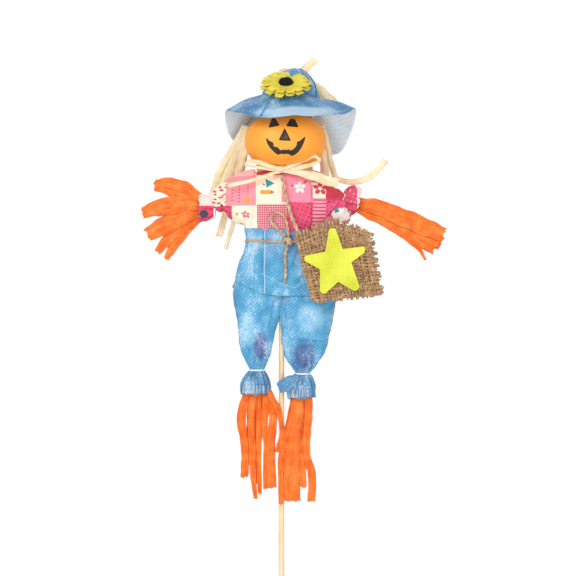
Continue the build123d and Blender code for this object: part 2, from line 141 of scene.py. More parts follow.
def in_edit_mode(piece: Piece, *steps: Callable[[], object]) -> None:
    """Run edit-mode operators on everything in a piece.

    Args:
        piece: the piece to edit.
        steps: calls made in order with all of the mesh selected.
    """
    only(piece)
    bpy.ops.object.mode_set(mode="EDIT")
    bpy.ops.mesh.select_all(action="SELECT")
    for step in steps:
        step()
    bpy.ops.object.mode_set(mode="OBJECT")


def weld(piece: Piece) -> None:
    """Merge doubled points and turn every face outwards."""
    in_edit_mode(
        piece,
        lambda: bpy.ops.mesh.remove_doubles(threshold=2e-6),
        lambda: bpy.ops.mesh.normals_make_consistent(inside=False),
    )


def join(pieces: Sequence[Piece], name: str) -> Piece:
    """Join pieces into one.

    Args:
        pieces: the pieces, at least one.
        name: the joined piece's name.
    Returns:
        The joined piece.
    """
    only(pieces[0])
    for piece in pieces:
        piece.select_set(True)
    if len(pieces) > 1:
        bpy.ops.object.join()
    joined = bpy.context.object
    joined.name = joined.data.name = name
    return joined


def face_away(piece: Piece, middle: Point) -> None:
    """Turn an open cloth's faces away from a point inside it.

    Args:
        piece: the cloth.
        middle: the point in millimetres.
    """
    total = sum((p.center - Vector(middle) * MM).normalized().dot(p.normal) for p in piece.data.polygons)
    if total < 0:
        in_edit_mode(piece, lambda: bpy.ops.mesh.flip_normals())


def apply_modifier(piece: Piece, kind: str, **settings: object) -> None:
    """Add one modifier to a piece and apply it.

    Args:
        piece: the piece.
        kind: the modifier's type name.
        settings: the modifier's properties.
    """
    only(piece)
    modifier = piece.modifiers.new(kind.title(), kind)
    for name, value in settings.items():
        setattr(modifier, name, value)
    bpy.ops.object.modifier_apply(modifier=modifier.name)


def surface(name: str, points: np.ndarray, uv: np.ndarray, closed: bool = False) -> Piece:
    """Shape a flat grid into a surface.

    Args:
        name: the piece's name.
        points: rows by columns of places, in millimetres.
        uv: rows by columns of UV places.
        closed: whether the last column meets the first.
    Returns:
        The shaped grid.
    """
    rows, columns = points.shape[:2]
    bpy.ops.object.select_all(action="DESELECT")
    bpy.ops.mesh.primitive_grid_add(x_subdivisions=columns - 1, y_subdivisions=rows - 1, size=1.0)
    piece = bpy.context.object
    piece.name = piece.data.name = name
    mesh = piece.data
    flat = np.empty(len(mesh.vertices) * 3)
    mesh.vertices.foreach_get("co", flat)
    flat = flat.reshape(-1, 3)
    column = np.rint((flat[:, 0] + 0.5) * (columns - 1)).astype(int)
    row = np.rint((flat[:, 1] + 0.5) * (rows - 1)).astype(int)
    mesh.vertices.foreach_set("co", (points[row, column] * MM).ravel())
    corner = np.empty(len(mesh.loops), dtype=int)
    mesh.loops.foreach_get("vertex_index", corner)
    mesh.uv_layers.active.data.foreach_set("uv", uv[row, column][corner].ravel())
    mesh.update()
    if closed:
        weld(piece)
    only(piece)
    bpy.ops.object.shade_smooth()
    return piece


def smooth_values(keys: np.ndarray, values: np.ndarray, at: np.ndarray) -> np.ndarray:
    """Read a smooth curve through rows of values.

    Args:
        keys: rising positions of the rows.
        values: one row of numbers for each key.
        at: the positions to read.
    Returns:
        One row for each position.
    """
    slopes = np.gradient(values, keys, axis=0)
    spot = np.clip(np.searchsorted(keys, at, side="right") - 1, 0, len(keys) - 2)
    span = keys[spot + 1] - keys[spot]
    t = ((at - keys[spot]) / span)[:, None]
    span = span[:, None]
    a, b = values[spot], values[spot + 1]
    m, n = slopes[spot] * span, slopes[spot + 1] * span
    rise = 3 * t**2 - 2 * t**3
    return (1 - rise) * a + (t**3 - 2 * t**2 + t) * m + rise * b + (t**3 - t**2) * n


def smooth_path(points: Sequence[Point], count: int) -> np.ndarray:
    """Even steps along a smooth curve through points.

    Args:
        points: the places to pass through.
        count: how many steps to return.
    Returns:
        The places along the curve.
    """
    spots = np.array(points, float)
    if len(spots) == 2:
        spots = np.array([spots[0], spots.mean(axis=0), spots[1]])
    keys = travelled(spots)
    return smooth_values(keys, spots, np.linspace(0, keys[-1], count))


def unit(rows: np.ndarray) -> np.ndarray:
    """Rows of vectors at length one."""
    return rows / np.linalg.norm(rows, axis=1)[:, None]


def travelled(path: np.ndarray) -> np.ndarray:
    """The distance along a path at each of its places."""
    return np.concatenate([[0.0], np.cumsum(np.linalg.norm(np.diff(path, axis=0), axis=1))])


def carried_frames(path: np.ndarray, start: Point) -> tuple[np.ndarray, np.ndarray, np.ndarray]:
    """Frames carried along a path without twisting.

    Args:
        path: places along the path.
        start: the direction that the first frame's side leans to.
    Returns:
        Tangents, sides and normals.
    """
    tangents = unit(np.gradient(path, axis=0))
    sides = np.empty_like(path)
    side = np.array(start, float)
    for i, tangent in enumerate(tangents):
        side = side - tangent * side.dot(tangent)
        side /= np.linalg.norm(side)
        sides[i] = side
    return tangents, sides, np.cross(tangents, sides)


def rumple(points: np.ndarray, size: float, seed: float) -> np.ndarray:
    """Smooth noise between -1 and 1 at each point.

    Args:
        points: places in millimetres.
        size: the width of one lump.
        seed: moves the pattern.
    Returns:
        One number for each point.
    """
    flat = points.reshape(-1, 3) / size
    offset = Vector((seed * 7.1, seed * 3.3, seed * 5.7))
    values = np.array([noise.noise(Vector(p) + offset) for p in flat])
    return values.reshape(points.shape[:-1])


def clear_of_stick(points: np.ndarray) -> np.ndarray:
    """Push points that would run through the stick in front of it.

    Args:
        points: places in millimetres.
    Returns:
        The moved places.
    """
    reach = np.sqrt(np.clip(STICK_CLEARANCE**2 - points[..., 0] ** 2, 0, None))
    inside = (reach > 0) & (points[..., 1] > -reach)
    points[..., 1] = np.where(inside, -reach, points[..., 1])
    return points


# --- Finishes -----------------------------------------------------------------------------
class Mark(Enum):
    """Shapes laid on cloth, for print and also for painted shade and painted highlights."""

    OVAL = "oval"
    WEDGE = "wedge"
    BLOCK = "block"


@dataclass(frozen=True)
class Motif:
    """One shape laid on cloth, for print and also for painted shade and painted highlights: its middle, half
    sizes, colour, turn in degrees and how strongly it shows.
    """

    x: float
    z: float
    half_x: float
    half_z: float
    colour: str
    turn: float = 0.0
    mark: Mark = Mark.OVAL
    strength: float = 1.0


@dataclass(frozen=True)
class Finish:
    """What every finish shares: a name, a shader and the coordinates that its patterns read."""

    name: str

    def start(self, roughness: float, **inputs: object) -> tuple[bpy.types.Material, Tree, Node]:
        """Make an empty material with one shader.

        Args:
            roughness: the surface's roughness.
            inputs: more shader sockets, with underscores for spaces.
        Returns:
            The material, its tree and its shader.
        """
        material = bpy.data.materials.new(self.name)
        material.use_nodes = True
        tree = material.node_tree
        tree.nodes.clear()
        values = {"Roughness": roughness, **{k.replace("_", " "): v for k, v in inputs.items()}}
        shader = add_node(tree, "BsdfPrincipled", values)
        add_node(tree, "OutputMaterial", {"Surface": shader.outputs[0]})
        return material, tree, shader

    def stretched(self, tree: Tree, scale: Point, use_uv: bool = True, turn: float = 0.0) -> Socket:
        """Coordinates scaled along each axis.

        Args:
            tree: the material's tree.
            scale: repeats for each 10 mm along u and v, or for each metre in object space.
            use_uv: whether to read the piece's UV map and not its place.
            turn: degrees about the third axis.
        Returns:
            The coordinates' socket.
        """
        coordinates = add_node(tree, "TexCoord").outputs["UV" if use_uv else "Object"]
        settings = {"Vector": coordinates, "Scale": scale, "Rotation": (0, 0, math.radians(turn))}
        return add_node(tree, "Mapping", settings).outputs[0]

    def tone(self, tree: Tree, factor: Socket, stops: Sequence[tuple[float, str]]) -> Socket:
        """Colours along a factor.

        Args:
            tree: the material's tree.
            factor: a socket from 0 to 1.
            stops: places and hex colours.
        Returns:
            The colour's socket.
        """
        ramp = add_node(tree, "ValToRGB", {"Fac": factor})
        elements = ramp.color_ramp.elements
        elements[0].position, elements[0].color = stops[0][0], linear(stops[0][1])
        elements[1].position, elements[1].color = stops[-1][0], linear(stops[-1][1])
        for place, code in stops[1:-1]:
            elements.new(place).color = linear(code)
        return ramp.outputs[0]

    def over(self, tree: Tree, factor: Socket, below: Socket | str, above: Socket | str) -> Socket:
        """One colour laid over another.

        Args:
            tree: the material's tree.
            factor: how much of the upper colour shows.
            below: the lower colour, a socket or a hex value.
            above: the upper colour.
        Returns:
            The mixed colour's socket.
        """
        values = {0: factor}
        for key, colour in ((6, below), (7, above)):
            values[key] = linear(colour) if isinstance(colour, str) else colour
        return add_node(tree, "Mix", values, data_type="RGBA").outputs[2]

    def stencil(self, tree: Tree, motif: Motif) -> Socket:
        """A mask that shows inside one laid shape, for print and painted light alike.

        Args:
            tree: the material's tree.
            motif: the shape.
        Returns:
            The mask's socket.
        """
        uv = add_node(tree, "TexCoord").outputs["UV"]
        middle = (motif.x * UV_PER_MM, motif.z * UV_PER_MM, 0)
        local = add_node(tree, "VectorMath", {0: uv, 1: middle}, operation="SUBTRACT").outputs[0]
        if motif.turn:
            turned = {"Vector": local, "Angle": -math.radians(motif.turn)}
            local = add_node(tree, "VectorRotate", turned, rotation_type="Z_AXIS").outputs[0]
        size = (motif.half_x * UV_PER_MM, motif.half_z * UV_PER_MM, 1)
        local = add_node(tree, "VectorMath", {0: local, 1: size}, operation="DIVIDE").outputs[0]
        if motif.mark is Mark.OVAL:
            reach = add_node(tree, "VectorMath", {0: local}, operation="LENGTH").outputs["Value"]
        else:
            parts = add_node(tree, "SeparateXYZ", {0: local}).outputs
            across = add_node(tree, "Math", {0: parts[0]}, operation="ABSOLUTE").outputs[0]
            height = add_node(tree, "Math", {0: parts[1]}, operation="ABSOLUTE").outputs[0]
            if motif.mark is Mark.WEDGE:
                slope = {0: height, 1: 2.0, 2: parts[0]}
                height = add_node(tree, "Math", slope, operation="MULTIPLY_ADD").outputs[0]
            reach = add_node(tree, "Math", {0: across, 1: height}, operation="MAXIMUM").outputs[0]
        if motif.mark is Mark.OVAL and motif.strength < 1.0:
            fall = {"Value": reach, "From Min": 1.15, "From Max": 0.55, "To Max": motif.strength}
            return add_node(tree, "MapRange", fall, interpolation_type="SMOOTHSTEP").outputs[0]
        inside = add_node(tree, "Math", {0: reach, 1: 1.0}, operation="LESS_THAN").outputs[0]
        if motif.strength == 1.0:
            return inside
        return add_node(tree, "Math", {0: inside, 1: motif.strength}, operation="MULTIPLY").outputs[0]

    def printed(self, tree: Tree, colour: Socket | str, motifs: Sequence[Motif]) -> Socket | str:
        """Lay shapes over a colour: print, and also painted shade and painted highlights.

        Args:
            tree: the material's tree.
            colour: what is below them.
            motifs: the shapes, in order.
        Returns:
            The printed colour.
        """
        for motif in motifs:
            colour = self.over(tree, self.stencil(tree, motif), colour, motif.colour)
        return colour

    def relief(self, tree: Tree, shader: Node, height: Socket, depth_mm: float) -> None:
        """Give the shader a bump.

        Args:
            tree: the material's tree.
            shader: the shader.
            height: the bump's height, from 0 to 1.
            depth_mm: how deep a full step is.
        """
        bump = add_node(tree, "Bump", {"Height": height, "Distance": depth_mm * MM, "Strength": 1.0})
        tree.links.new(bump.outputs[0], shader.inputs["Normal"])


@dataclass(frozen=True)
class DenimPrint(Finish):
    """Thin cotton with a faded denim print: soft, matt, with whitish speckle along diagonal twill lines."""

    deep: str
    mid: str
    pale: str
    fleck: str = "#dcecf4"
    fade: float = 0.5
    motifs: tuple[Motif, ...] = ()

    def material(self) -> bpy.types.Material:
        """Build the material."""
        made, tree, shader = self.start(0.85, Sheen_Weight=0.15, Sheen_Roughness=0.5)
        place = self.stretched(tree, (0.55, 0.35, 1))
        clouds = {"Vector": place, "Scale": 1.0, "Detail": 4.0, "Roughness": 0.6}
        cloud = add_node(tree, "TexNoise", clouds)
        base = self.tone(tree, cloud.outputs[0], [(0.24, self.deep), (0.48, self.mid), (0.74, self.pale)])
        # The twill is drawn at about 1.5 mm, coarser than real thread, so that it shows.
        lines = {"Vector": self.stretched(tree, (1, 1, 1), turn=TWILL_TURN), "Scale": 1.35, "Distortion": 1.3,
                 "Detail": 2.0, "Detail Scale": 2.5}
        twill = add_node(tree, "TexWave", lines)
        flecks = {"Vector": self.stretched(tree, (12, 4, 1), turn=TWILL_TURN), "Scale": 1.0, "Detail": 3.0,
                  "Roughness": 0.7}
        speckle = add_node(tree, "TexNoise", flecks)
        patchy = add_node(tree, "Math", {0: speckle.outputs[0], 1: cloud.outputs[0]}, operation="ADD")
        wear = {"Value": patchy.outputs[0], "From Min": 1.02, "From Max": 1.28, "To Max": self.fade}
        worn = add_node(tree, "MapRange", wear)
        depth = {"Value": twill.outputs[1], "From Min": 0.3, "From Max": 0.9, "To Max": 0.5}
        lined = add_node(tree, "MapRange", depth)
        colour = self.over(tree, lined.outputs[0], base, self.deep)
        # The marks are print, and on the trousers also painted shade and painted highlights.
        colour = self.printed(tree, colour, self.motifs)
        threads = {0: worn.outputs[0], 1: twill.outputs[1]}
        rubbed = add_node(tree, "Math", threads, operation="MULTIPLY").outputs[0]
        values = {0: rubbed, 1: 0.15, 2: worn.outputs[0]}
        paler = add_node(tree, "Math", values, operation="MULTIPLY_ADD", use_clamp=True)
        colour = self.over(tree, paler.outputs[0], colour, self.fleck)
        tree.links.new(colour, shader.inputs["Base Color"])
        self.relief(tree, shader, twill.outputs[1], 0.06)
        return made


class Ground(Enum):
    """All-over patterns of a printed square."""

    PLAIN = "plain"
    DOTS = "dots"
    GINGHAM = "gingham"
    STRIPES = "stripes"
    DASHES = "dashes"


@dataclass(frozen=True)
class Patch:
    """One printed square: its edges in millimetres, its colours and its all-over pattern."""

    left: float
    right: float
    low: float
    high: float
    colour: str
    ground: Ground = Ground.PLAIN
    second: str = "#ffffff"


@dataclass(frozen=True)
class PatchworkPrint(Finish):
    """Thin cotton printed with squares: matt, with a fine plain weave."""

    colour: str
    patches: tuple[Patch, ...]
    motifs: tuple[Motif, ...]

    def ground_mask(self, tree: Tree, ground: Ground) -> Socket:
        """A mask of one all-over pattern.

        Args:
            tree: the material's tree.
            ground: the pattern, not PLAIN.
        Returns:
            The mask's socket.
        """
        if ground in (Ground.DOTS, Ground.DASHES):
            dots = ground is Ground.DOTS
            place = self.stretched(tree, (2.9, 2.9, 1) if dots else (2.0, 4.2, 1), turn=20 if dots else 38)
            spots = add_node(tree, "TexVoronoi", {"Vector": place, "Scale": 1.0,
                                                            "Randomness": 0.15 if dots else 0.5}).outputs[0]
            limit = 0.17 if dots else 0.33
            return add_node(tree, "Math", {0: spots, 1: limit}, operation="LESS_THAN").outputs[0]
        checked = ground is Ground.GINGHAM
        bands = []
        for direction in ("X", "Y") if checked else ("Y",):
            values = {"Vector": self.stretched(tree, (1, 1, 1)), "Scale": 1.75 if checked else 1.1,
                      "Distortion": 0.25, "Detail": 0.0}
            wave = add_node(tree, "TexWave", values, bands_direction=direction).outputs[1]
            edge = {"Value": wave, "From Min": 0.42, "From Max": 0.58, "To Max": 0.5 if checked else 1.0}
            bands.append(add_node(tree, "MapRange", edge).outputs[0])
        if not checked:
            return bands[0]
        return add_node(tree, "Math", {0: bands[0], 1: bands[1]}, operation="ADD").outputs[0]

    def material(self) -> bpy.types.Material:
        """Build the material."""
        made, tree, shader = self.start(0.82, Sheen_Weight=0.1, Sheen_Roughness=0.5)
        masks = {g: self.ground_mask(tree, g) for g in Ground if g is not Ground.PLAIN}
        colour: Socket | str = self.colour
        for patch in self.patches:
            square = Motif((patch.left + patch.right) / 2, (patch.low + patch.high) / 2,
                           (patch.right - patch.left) / 2, (patch.high - patch.low) / 2, patch.colour,
                           mark=Mark.BLOCK)
            if patch.ground is Ground.PLAIN:
                inside: Socket | str = patch.colour
            else:
                inside = self.over(tree, masks[patch.ground], patch.colour, patch.second)
            colour = self.over(tree, self.stencil(tree, square), colour, inside)
        colour = self.printed(tree, colour, self.motifs)
        place = self.stretched(tree, (0.6, 0.6, 1))
        shade = add_node(tree, "TexNoise", {"Vector": place, "Scale": 1.0}).outputs[0]
        faint = {"Value": shade, "From Min": 0.35, "From Max": 0.75, "To Max": 0.14}
        soft = add_node(tree, "MapRange", faint)
        colour = self.over(tree, soft.outputs[0], colour, "#c07c84")
        tree.links.new(colour, shader.inputs["Base Color"])
        # The plain weave is drawn at 0.7 mm, coarser than real cotton, so that it shows.
        threads = [
            add_node(tree, "TexWave", {"Vector": self.stretched(tree, (1, 1, 1)), "Scale": 4.6},
                     bands_direction=direction).outputs[1]
            for direction in ("X", "Y")
        ]
        crossed = add_node(tree, "Math", dict(enumerate(threads)), operation="MULTIPLY")
        self.relief(tree, shader, crossed.outputs[0], 0.05)
        return made


@dataclass(frozen=True)
class Toned(Finish):
    """A finish in three tones of one colour, mottled by fine grain and broad patches."""

    deep: str
    mid: str
    pale: str

    def grained(self, tree: Tree, shader: Node, grain: Socket, patches_per_m: float, share: float, spread: Spot,
                depth_mm: float) -> Socket:
        """Colour and bump a shader.

        Args:
            tree: the material's tree.
            shader: the shader.
            grain: the fine grain, from 0 to 1.
            patches_per_m: broad patches for each metre.
            share: how much the patches count against the grain.
            spread: where on the mixed pattern the deep and the pale tone lie.
            depth_mm: the grain's depth.
        Returns:
            The colour's socket.
        """
        place = self.stretched(tree, (patches_per_m,) * 3, use_uv=False)
        patches = add_node(tree, "TexNoise", {"Vector": place, "Scale": 1.0, "Detail": 2.0})
        both = add_node(tree, "Mix", {0: share, 2: grain, 3: patches.outputs[0]}).outputs[0]
        colour = self.tone(tree, both, [(spread[0], self.deep), (0.5, self.mid), (spread[1], self.pale)])
        tree.links.new(colour, shader.inputs["Base Color"])
        self.relief(tree, shader, grain, depth_mm)
        return colour


@dataclass(frozen=True)
class FibreStrip(Toned):
    """Raffia or crinkled paper: streaks along the strip, a dry matt surface and light that shines through."""

    streaks: float = 9.0
    glow: float = 0.25
    depth_mm: float = 0.12

    def material(self) -> bpy.types.Material:
        """Build the material."""
        made, tree, shader = self.start(0.62, Sheen_Weight=0.05)
        place = self.stretched(tree, (self.streaks, 0.35, 1))
        streaks = {"Vector": place, "Scale": 1.0, "Detail": 3.0, "Roughness": 0.6}
        streak = add_node(tree, "TexNoise", streaks)
        colour = self.grained(tree, shader, streak.outputs[0], 150, 0.5, (0.34, 0.64), self.depth_mm)
        through = add_node(tree, "BsdfTranslucent", {"Color": colour})
        mixed = add_node(tree, "MixShader", {0: self.glow, 1: shader.outputs[0], 2: through.outputs[0]})
        output = next(n for n in tree.nodes if n.type == "OUTPUT_MATERIAL")
        tree.links.new(mixed.outputs[0], output.inputs["Surface"])
        return made


@dataclass(frozen=True)
class TwistedFibre(Toned):
    """Jute thread: hairy brown fibres that run along each ply."""

    def material(self) -> bpy.types.Material:
        """Build the material."""
        made, tree, shader = self.start(0.9, Sheen_Weight=0.2, Sheen_Roughness=0.6)
        place = self.stretched(tree, (14, 1.6, 1))
        fibres = {"Vector": place, "Scale": 1.0, "Detail": 4.0, "Roughness": 0.7}
        fibre = add_node(tree, "TexNoise", fibres)
        self.grained(tree, shader, fibre.outputs[0], 260, 0.5, (0.32, 0.66), 0.12)
        return made


@dataclass(frozen=True)
class Mottled(Toned):
    """A plain coloured surface with fine grain: paint on foam, felt, pile, elastic thread, wadding or wire."""

    grain_per_m: float
    roughness: float = 0.6
    depth_mm: float = 0.05
    metallic: float = 0.0
    sheen: float = 0.0
    stretch: Point = (1.0, 1.0, 1.0)

    def material(self) -> bpy.types.Material:
        """Build the material."""
        made, tree, shader = self.start(self.roughness, Metallic=self.metallic, Sheen_Weight=self.sheen)
        place = self.stretched(tree, tuple(self.grain_per_m * s for s in self.stretch), use_uv=False)
        grains = {"Vector": place, "Scale": 1.0, "Detail": 5.0, "Roughness": 0.65}
        grain = add_node(tree, "TexNoise", grains)
        self.grained(tree, shader, grain.outputs[0], 45, 0.45, (0.34, 0.66), self.depth_mm)
        return made


@cache
def material_of(finish: Finish) -> bpy.types.Material:
    """The material of a finish, made the first time it is asked for."""
    return finish.material()


BAMBOO = Mottled("bare_bamboo", "#d9b888", "#ecd0a4", "#f6e3c2", 900.0, 0.55, 0.04, stretch=(1.0, 1.0, 0.02))
HEAD_PAINT = Mottled("orange_paint_on_foam", "#fb9420", "#fda02c", "#ffac3c", 700.0, 0.5, 0.02)
FACE_PRINT = Mottled("black_print", "#17120e", "#2c221a", "#5a4a38", 420.0, 0.6, 0.03)
HAT_DENIM = DenimPrint(
    "hat_denim_print", "#2c6797", "#4886b2", "#76acce", fleck="#d3e4ee", fade=0.6,
    motifs=(
        # Paler near the brim's edge at the front, the left side and both back corners, darker patches at both
        # front corners and near the crown, and a dark and a pale streak on the crown.
        Motif(4, 4.0, 30, 7.0, "#b7cfe0", strength=0.75), Motif(-40, 12, 15, 14, "#1f5e98", strength=0.5),
        Motif(48, 10, 18, 9.0, "#1f5e98", strength=0.5), Motif(14, 20, 12, 7.0, "#1f5e98", strength=0.4),
        Motif(-60, 6, 7, 5, "#9cc4df", strength=0.6), Motif(10, 74, 9, 16, "#245f96", strength=0.35),
        Motif(22, 80, 5, 14, "#9cc6e2", strength=0.5), Motif(96, 8, 20, 8.0, "#b7cfe0", strength=0.5),
        Motif(-96, 8, 20, 8.0, "#b7cfe0", strength=0.5),
    ),
)
HAT_LINING = DenimPrint("print_seen_from_behind", "#c2e2fa", "#dcf1ff", "#f2fbff", fleck="#ffffff", fade=0.6)
CUFF_DENIM = DenimPrint(
    "cuff_denim_print", "#356c96", "#5f93ba", "#8fbfde", fade=0.6,
    motifs=(
        Motif(-20, 233.5, 14, 4.2, "#34577f", mark=Mark.BLOCK, strength=0.4),
        Motif(15, 230.5, 9, 4.0, "#4b5c8c", mark=Mark.BLOCK, strength=0.4),
        *(Motif(-31.5 + 2.4 * i, 233.6, 0.5, 3.0, "#e6eef5", mark=Mark.BLOCK, turn=(5 * i) % 9 - 4, strength=0.35)
          for i in range(10)),
        *(Motif(7.5 + 2.3 * i, 230.4, 0.5, 3.0, "#e6eef5", mark=Mark.BLOCK, turn=(7 * i) % 9 - 4, strength=0.35)
          for i in range(8)),
        Motif(-20, 246, 3.0, 6.0, "#2d6590", strength=0.5), Motif(17, 243, 3.0, 6.0, "#2d6590", strength=0.5),
    ),
)
RAFFIA = FibreStrip("dry_raffia", "#efdbb2", "#fff0cc", "#fffae2", 9.0, 0.35, 0.07)
PAPER = FibreStrip("crinkled_orange_paper", "#f0640e", "#ff8425", "#ffa044", 6.0, 0.3, 0.14)
JUTE = TwistedFibre("twisted_jute", "#93714b", "#c4a17a", "#e6cfaa")
BURLAP_THREAD = TwistedFibre("burlap_thread", "#74502c", "#a98055", "#cfac80")
DARK_YARN = TwistedFibre("dark_yarn", "#1c110a", "#33210f", "#553a24")
FELT = Mottled("pressed_lime_felt", "#b9bd2e", "#d6d942", "#e6e85c", 1300.0, 0.95, 0.16, sheen=0.1)
PETAL = FibreStrip("starched_petal_cloth", "#d0bb2a", "#eddb3a", "#f7ea5c", 8.0, 0.2)
PILE = Mottled("black_pile", "#050403", "#0d0b08", "#1f1a12", 2600.0, 0.9, 0.25)
ELASTIC = Mottled("white_elastic_thread", "#d9dadb", "#eff0f0", "#ffffff", 2400.0, 0.7, 0.05)
WADDING = Mottled("polyester_wadding", "#e4e4e2", "#f2f2f0", "#ffffff", 600.0, 0.95, 0.4)
WIRE = Mottled("annealed_wire", "#6d6a66", "#8d8a85", "#aba8a2", 2000.0, 0.35, 0.02, metallic=1.0)
FACE_EDGE = Mottled("black_print_edge", "#120c08", "#1f150e", "#33251a", 500.0, 0.6, 0.03)
HAT_SEAM = DenimPrint("hat_seam_print", "#2b6497", "#3b7db0", "#5b9cc9", fleck="#c9dcea", fade=0.3)
PALE_THREAD = Mottled("pale_thread", "#bcd0dd", "#d6e4ec", "#edf4f7", 900.0, 0.8, 0.05)
RAFFIA_PAD = Mottled("packed_raffia", "#cdb280", "#e4cf9f", "#f3e6c2", 500.0, 0.8, 0.3, stretch=(1.0, 1.0, 0.1))
HUB = Mottled("green_moulded_plastic", "#33521f", "#43682a", "#5a823b", 500.0, 0.5, 0.02)


# --- Prints -------------------------------------------------------------------------------
def flower_print(x: float, z: float, reach: float, petals: str, eye: str) -> tuple[Motif, ...]:
    """A small printed flower.

    Args:
        x: its middle across.
        z: its middle upwards.
        reach: its size from middle to petal tip.
        petals: the petals' colour.
        eye: the middle's colour.
    Returns:
        Its shapes.
    """
    found = [
        Motif(x + 0.6 * reach * math.cos(a), z + 0.6 * reach * math.sin(a), 0.42 * reach, 0.3 * reach, petals,
              turn=math.degrees(a))
        for a in (math.radians(18 + 72 * i) for i in range(5))
    ]
    return (*found, Motif(x, z, 0.28 * reach, 0.28 * reach, eye))


def dash_column(x: float, low: float, high: float, count: int, colour: str) -> tuple[Motif, ...]:
    """A column of short printed dashes.

    Args:
        x: where the column is.
        low: its lowest dash.
        high: its highest dash.
        count: how many dashes.
        colour: their colour.
    Returns:
        The dashes.
    """
    return tuple(Motif(x, float(z), 0.75, 0.42, colour, turn=30) for z in np.linspace(low, high, count))


PINK, RASPBERRY, CREAM, RED, TEAL, ORANGE = "#f7929e", "#dd4166", "#fbe6cf", "#d5303f", "#1f9391", "#f59a3c"
SHIRT_PRINT = PatchworkPrint(
    "patchwork_cotton_print",
    CREAM,
    (
        Patch(-200, -43.2, 379.8, 460, CREAM, Ground.DASHES, RED),
        Patch(-200, -38.9, 300, 379.8, RASPBERRY, Ground.DOTS, "#5d1230"),
        Patch(-43.2, -20.6, 379.8, 404.3, PINK),
        Patch(-43.2, -20.6, 404.3, 460, "#f3b9b4"),
        Patch(-20.6, 0.3, 404.0, 460, RED),
        Patch(0.3, 24.8, 382.2, 460, "#f58aa0"),
        Patch(-19.4, 4.5, 300, 380.6, "#f0aeb6", Ground.GINGHAM, "#b8243f"),
        Patch(4.5, 24.8, 300, 382.2, "#e04a70", Ground.DOTS, "#6c1732"),
        Patch(24.8, 34.4, 300, 385.9, "#f6a3b4", Ground.STRIPES, "#d24a6b"),
        Patch(34.4, 62, 384.0, 396.3, "#d0354c"),
        Patch(34.4, 200, 370.6, 384.0, "#e0527a", Ground.DOTS, "#6c1732"),
        Patch(34.4, 200, 300, 370.6, "#f39aa8"),
        Patch(24.8, 200, 398.4, 460, "#c73a4e"),
        Patch(51, 200, 366, 400, "#d84a68", Ground.DOTS, "#f7b9c4"),
        Patch(60.4, 200, 366, 400, "#f6d2d6"),
        Patch(-200, -54.6, 380.0, 400, "#f6d9cf"),
    ),
    (
        *dash_column(-38.5, 384, 395, 5, "#a52746"),
        *dash_column(-33.1, 383, 395, 6, "#a52746"),
        *dash_column(-26.3, 389, 396, 4, "#c23a55"),
        Motif(-27.1, 384.3, 2.5, 2.5, ORANGE),
        Motif(-8.8, 397.2, 3.4, 3.6, TEAL, mark=Mark.WEDGE),
        Motif(-13.8, 396.4, 0.9, 0.9, "#d45a63"),
        Motif(-12.4, 390.3, 4.4, 1.6, ORANGE, mark=Mark.BLOCK),
        Motif(-6.9, 390.3, 1.5, 1.5, "#b5565d", mark=Mark.WEDGE),
        *flower_print(14.5, 394.0, 4.8, "#ffe9e4", "#f6c3bd"),
        Motif(8.6, 395.4, 0.8, 0.8, "#5b2433"),
        Motif(18.8, 398.4, 1.6, 1.0, RED, turn=40),
        *flower_print(30.2, 393.6, 5.4, RED, CREAM),
        Motif(-34.9, 372.9, 1.2, 1.2, ORANGE),
        *flower_print(-28.5, 372.6, 2.9, "#d9606a", "#f7c9b9"),
        Motif(-31.6, 363.6, 1.6, 1.0, ORANGE, turn=-40),
        Motif(-46.7, 380.4, 1.3, 1.3, "#5b2433"),
        Motif(-46.0, 387.4, 2.2, 1.2, "#ee5a3c", turn=45),
        Motif(47.4, 372.4, 7.5, 5.4, "#f6ebe4"),
        Motif(43.9, 375.8, 1.8, 1.6, TEAL, mark=Mark.BLOCK, turn=20),
        Motif(-62.0, 373.4, 3.4, 3.0, "#26304f"),
    ),
)
